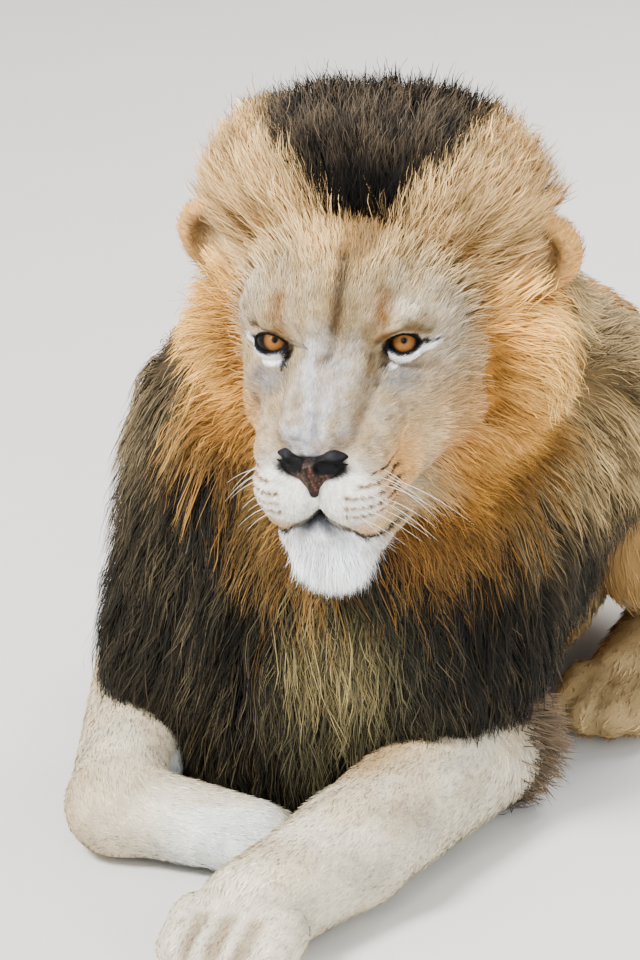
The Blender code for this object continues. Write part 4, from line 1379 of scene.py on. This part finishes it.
def mane_way(points, normals):
    """Which way the locks run from here."""
    local, _, face = mane_zones(points)[:3]
    x, y, z = local.T
    out = unit(np.stack([x, 0.35 * np.abs(x), z + 6], -1))
    out += np.stack([0 * x, np.full(len(x), 0.35), np.where(z < 0, -0.35, 0.1)], -1)
    out = out @ HEAD_TURN.T
    across = points[:, 0] - 6
    down = np.tile((0.0, 0.35, -1.0), (len(points), 1))
    down[:, 0] = 0.25 * np.sign(across) * ramp(np.abs(across), 4, 14)
    down[:, 1] = np.where(points[:, 1] < -8, 0.05, 0.55)
    top = ramp(normals[:, 2], 0.3, 0.8)[:, None]
    rest = down * (1 - top) + np.array((0.0, 1.0, -0.35)) * top
    share = np.maximum(face, ramp(z, 2, 9) * (1 - ramp(y, 20, 28)))[:, None]
    return unit(out * share + rest * (1 - share))


def mane_weight(points):
    weight = (points[:, 2] >= 1.0) * (head_clear.at(in_head(points))[0] >= 0.3)
    front, side = ramp(-points[:, 1], -6, 10), ramp(points[:, 0], 22, 30)
    return weight * (0.5 + 0.8 * np.maximum(front, side))


def ring_share(points):
    local, _, face = mane_zones(points)[:3]
    return np.maximum(face, ramp(local[:, 2], 3, 8) * (1 - ramp(local[:, 1], 24, 30)))


def ring_weight(points):
    """The finer hair round the face and on the crest."""
    under = 1 - ramp(in_head(points)[:, 2], -18, -8)
    return mane_weight(points) * ring_share(points) * (1 + 1.3 * under)


def outer_weight(points):
    """The long coarse hair of the neck and the chest."""
    local, outward = mane_zones(points)[:2]
    beside = 1 + 1.6 * (1 - ramp(np.abs(outward - 1.5), 2, 5)) * ramp(local[:, 2], -20, -12)
    return mane_weight(points) * (1 - ring_share(points)) * beside


def guide_paths(places, normals, zones, steps):
    """The middle lines of the locks, which run out over the mane's form at their own height."""
    local, _, face, crest, chest = zones
    x, y, z = local.T
    guides = len(places)
    length = 11.0 + 4.0 * chest - 4.5 * face - 1.0 * crest
    under_apex = (1 - ramp(np.abs(x - 1.6), 3.0, 7.0)) * (1 - ramp(z, 9.5, 12.0)) * ramp(z, 1, 3)
    length *= (1 - 0.65 * under_apex) * RNG.uniform(0.7, 1.25, guides)
    length *= 1 - 0.3 * face * (1 - ramp(z, -18, -10))
    corner = ramp(z, 8, 14) * ramp(np.abs(x - 1), 7, 13) * (1 - ramp(y, 22, 28))
    height = 3.1 - 0.6 * crest + 0.2 * face - 1.0 * ramp(z, 14, 22) - 1.6 * corner
    length *= 1 - 0.25 * corner
    height *= RNG.uniform(0.5, 1.12, guides)
    stand = 0.25 + 0.2 * face + 0.4 * crest
    curl = (0.4 + 0.5 * chest + 0.1 * face) * RNG.uniform(0.5, 1.5, guides)
    paths = np.empty((guides, steps, 3))
    spot, way = places.copy(), mane_way(places, normals)
    way = unit(way + RNG.normal(0, 1, way.shape) * (0.2 + 0.14 * face)[:, None])
    phase = RNG.uniform(0, 2 * math.pi, guides)
    paths[:, 0] = spot - normals * 0.8
    stride = length / (steps - 1)
    for step in range(1, steps):
        t = step / (steps - 1)
        outward = mane_shape.at(spot)[1]
        way = unit(way * 0.62 + mane_way(spot, outward) * 0.38)
        way[:, 2] -= 0.10 * t * (1 - stand)
        bend = np.sin(phase + t * 8.5)[:, None] * curl[:, None] * 0.5
        move = way + outward * (stand * (1 - t) * 0.9)[:, None] + np.cross(way, outward) * bend
        spot = spot + unit(move) * stride[:, None]
        value, outward = mane_shape.at(spot)
        aim = height * min(1.0, t * 1.25) ** 0.7
        spot = spot + outward * np.clip(aim - value, -0.8 * stride, 0.5 * stride)[:, None] * 0.7
        above_floor(spot, 0.25)
        paths[:, step] = spot
    return paths


def grow_locks(name, guides, strands, weight, steps):
    """Locks: strands that start round a guide and draw together towards its tip."""
    places, normals = scatter(MANE_SKIN, guides, weight)
    zones = mane_zones(places)
    paths = guide_paths(places, normals, zones, steps)
    count = guides * strands
    which = np.repeat(np.arange(guides), strands)
    face, chest = zones[2][which], zones[4][which]
    base = unit(mane_way(places, normals))
    side = unit(np.cross(base, normals))
    spread = RNG.normal(0, 1, (count, 2)) * (0.85 + 0.25 * chest)[:, None]
    offset = side[which] * spread[:, :1] + base[which] * spread[:, 1:]
    t = np.linspace(0, 1, steps)
    stray = RNG.uniform(size=count) < 0.2
    gather = np.where(stray, 0.1, 0.45 + 0.3 * (1 - face))
    loose = RNG.uniform(0.7, 1.5, count)[:, None] * (1 - gather[:, None] * t**0.7)
    fine = paths[which] + offset[:, None] * loose[..., None]
    wave = RNG.normal(0, 0.22, (count, steps, 3)) * (t**0.6)[:, None]
    fine = fine + wave + RNG.normal(0, 0.42, (count, 1, 3)) * t[:, None]
    scaled = RNG.uniform(0.66, 1.0, count)[:, None] * t * (steps - 1)
    low = np.minimum(np.floor(scaled).astype(int), steps - 2)
    rows = np.arange(count)[:, None]
    fine = mix(fine[rows, low], fine[rows, low + 1], (scaled - low)[..., None])
    above_floor(fine, 0.12)
    width = (0.13 - 0.035 * face) * RNG.uniform(0.5, 1.3, count)
    tone = RNG.normal(1, 0.16, (count, 1)) * np.repeat(RNG.normal(1, 0.22, (guides, 1)), strands, axis=0)
    tone = np.clip(tone, 0.35, 1.9)
    mixed = fine[:, 0] + RNG.normal(0, 0.55, (count, 3))
    # painted shade: the roots darker, deep in the locks
    roots = mane_paint(mixed, False) * tone * (0.6 + 0.25 * face)[:, None]
    tips = mane_paint(mixed, True) * tone
    seen = np.repeat(normals[which][:, None], steps, axis=1)
    twist, uvs = RNG.normal(0, 0.6, count), unwrap(fine[:, 0], (8, 4, 40))
    strips = ribbons(fine, width, seen, twist, roots, tips, uvs, 0.45)
    coat_piece(name, lock_look, strips, steps)


def make_mane_ground():
    """The skin under the mane: painted darker than its hair as shade deep in the mane, and nearly as light
    round the face.
    """
    roots, tips = mane_paint(mane_corners, False), mane_paint(mane_corners, True)
    face = mane_zones(mane_corners)[2][:, None]
    # painted shade: the hair's colours darkened
    colours = roots * (0.7 + 0.1 * face) + tips * 0.2 * face
    look = coat_material("mane_ground", 0.8, 0.1)
    ground = mesh_object("mane_ground", packed(mane_corners), mane_faces, look, colours)
    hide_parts("mane_crest", "mane_ruff")


def grow_tail_tuft():
    """The dark tuft of long hair round the end of the tail."""
    count, steps = int(TAIL_HAIRS * THIN), 6
    share = RNG.uniform(0.86, 1.0, count)
    spots = np.array([tail_point(t) for t in share])
    ahead = unit(np.array([tail_point(t) - tail_point(t - 0.03) for t in share]))
    around = RNG.normal(0, 1, (count, 3))
    around = unit(around - ahead * (around * ahead).sum(-1, keepdims=True))
    t = np.linspace(0, 1, steps)[None, :, None]
    length = RNG.uniform(6.0, 10.5, count)[:, None, None]
    swell = 1.2 + 1.2 * np.sin(math.pi * t) * RNG.uniform(0.5, 1.1, count)[:, None, None] - 0.7 * t
    paths = spots[:, None] + ahead[:, None] * length * t + around[:, None] * swell
    paths += RNG.normal(0, 0.15, paths.shape) * t
    above_floor(paths, 0.2)
    tone = np.clip(RNG.normal(1, 0.25, (count, 1)), 0.4, 1.8)
    roots, tips = linear((26, 22, 18)) * tone, linear((66, 54, 40)) * tone
    width = 0.16 * RNG.uniform(0.6, 1.3, count)
    twist, uvs = RNG.normal(0, 0.5, count), body_map(paths[:, 0])
    strips = ribbons(paths, width, around[:, None], twist, roots, tips, uvs)
    coat_piece("tail_hair", lock_look, strips, steps)


def grow_elbow_hair():
    """Dark hair behind the elbows, which joins the mane."""
    spots = [off(LEFT_ELBOW, 2, 3.5, 1), off(RIGHT_ELBOW, -1, 11, 1)]

    def weight(points):
        shares = [near(points, spot, (5.0, 5.0, 6.0), 1.2) for spot in spots]
        return np.maximum(*shares) * (points[:, 2] > 1.0)

    count = int(ELBOW_TUFTS * THIN)
    places, normals = scatter(BODY_SKIN, count, weight)
    along = np.array((0.25, 0.75, -0.55)) + RNG.normal(0, 0.2, (count, 3))
    length = RNG.uniform(3.0, 6.5, count)
    lift = 0.22 + 0.25 * RNG.uniform(size=count)
    paint = np.tile(linear((112, 97, 80)), (count, 1))
    width = 0.15 * RNG.uniform(0.6, 1.3, count)
    strips = tuft_strips(places, normals, along, length, width, lift, paint, body_map(places), 0.5, 1.3, 4)
    above_floor(strips[0])
    coat_piece("elbow_hair", lock_look, strips, 4)


lock_look = coat_material("mane_hair", 0.6, 0.12)
grow_fringe()
head_clear = head_field(0.6)
make_mane_ground()
grow_locks("mane_locks", int(MANE_LOCKS * THIN), MANE_STRANDS, outer_weight, 6)
grow_locks("ring_locks", int(RING_LOCKS * THIN), RING_STRANDS, ring_weight, 5)
grow_tail_tuft()
grow_elbow_hair()
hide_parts("tail_tuft")

# ---- floor, light, camera ----------------------------------------------------------------------

CAMERA_TURN, CAMERA_RISE, CAMERA_FAR = 20.0, 20.0, 5.0
AIM_RIGHT, AIM_UP = 0.0075594, -0.0107991  # metres that the camera stands off its line to the focus
LENS, SENSOR = 173.6, 36.0  # millimetres
FOCUS = Vector((15.5, -37.0, 52.0))
FLOOR_HALF = 14.0  # metres
AIR_COLOUR, AIR_STRENGTH = (0.92, 0.95, 1.0, 1), 1.28
LIGHTS = [  # name, place and aim in metres, width, watts, colour
    ("key", (-1.4, -3.0, 3.6), (0.1, -0.2, 0.4), 1.3, 580, (1.0, 0.985, 0.96)),
    ("fill", (2.7, -3.2, 1.3), (0.1, -0.2, 0.4), 2.0, 130, (0.96, 0.98, 1.0)),
    ("rim", (1.2, 3.0, 3.2), (0.1, 0.1, 0.6), 1.8, 240, (1.0, 0.96, 0.9)),
]


def make_floor():
    mesh = bpy.data.meshes.new("floor")
    corners = [(a * FLOOR_HALF, b * FLOOR_HALF, 0) for a, b in ((-1, -1), (1, -1), (1, 1), (-1, 1))]
    mesh.from_pydata(corners, [], [(0, 1, 2, 3)])
    material = graded_material("floor", 0.8, 0.2, 3.0, (203, 201, 197), (209, 207, 203))
    floor = show("floor", mesh, material)


def point_at(name, data, place, way):
    """A light or a camera that looks this way."""
    made = bpy.data.objects.new(name, data)
    made.location = place
    made.rotation_mode = "QUATERNION"
    made.rotation_quaternion = way.to_track_quat("-Z", "Y")
    bpy.context.scene.collection.objects.link(made)
    return made


def add_light(name, place, aim, size, power, colour):
    lamp = bpy.data.lights.new(name, "AREA")
    lamp.shape, lamp.size, lamp.energy, lamp.color = "DISK", size, power, colour
    point_at(name, lamp, place, Vector(aim) - Vector(place))


def make_world():
    world = bpy.data.worlds.new("studio")
    world.use_nodes = True
    back = world.node_tree.nodes["Background"]
    back.inputs["Color"].default_value = AIR_COLOUR
    back.inputs["Strength"].default_value = AIR_STRENGTH
    bpy.context.scene.world = world


def make_camera():
    turn, rise = math.radians(CAMERA_TURN), math.radians(CAMERA_RISE)
    back = Vector((math.sin(turn) * math.cos(rise), -math.cos(turn) * math.cos(rise), math.sin(rise)))
    right = Vector((math.cos(turn), math.sin(turn), 0))
    data = bpy.data.cameras.new("camera")
    data.lens, data.sensor_width, data.sensor_fit = LENS, SENSOR, "AUTO"
    data.clip_start, data.clip_end = 0.1, 100.0
    place = FOCUS * CM + Vector(SHIFT) + back * CAMERA_FAR
    place += right * AIM_RIGHT + right.cross(-back) * AIM_UP
    bpy.context.scene.camera = point_at("camera", data, place, -back)


make_floor()
make_world()
for light in LIGHTS:
    add_light(*light)
make_camera()

print("triangles in the coat", MADE["triangles"])
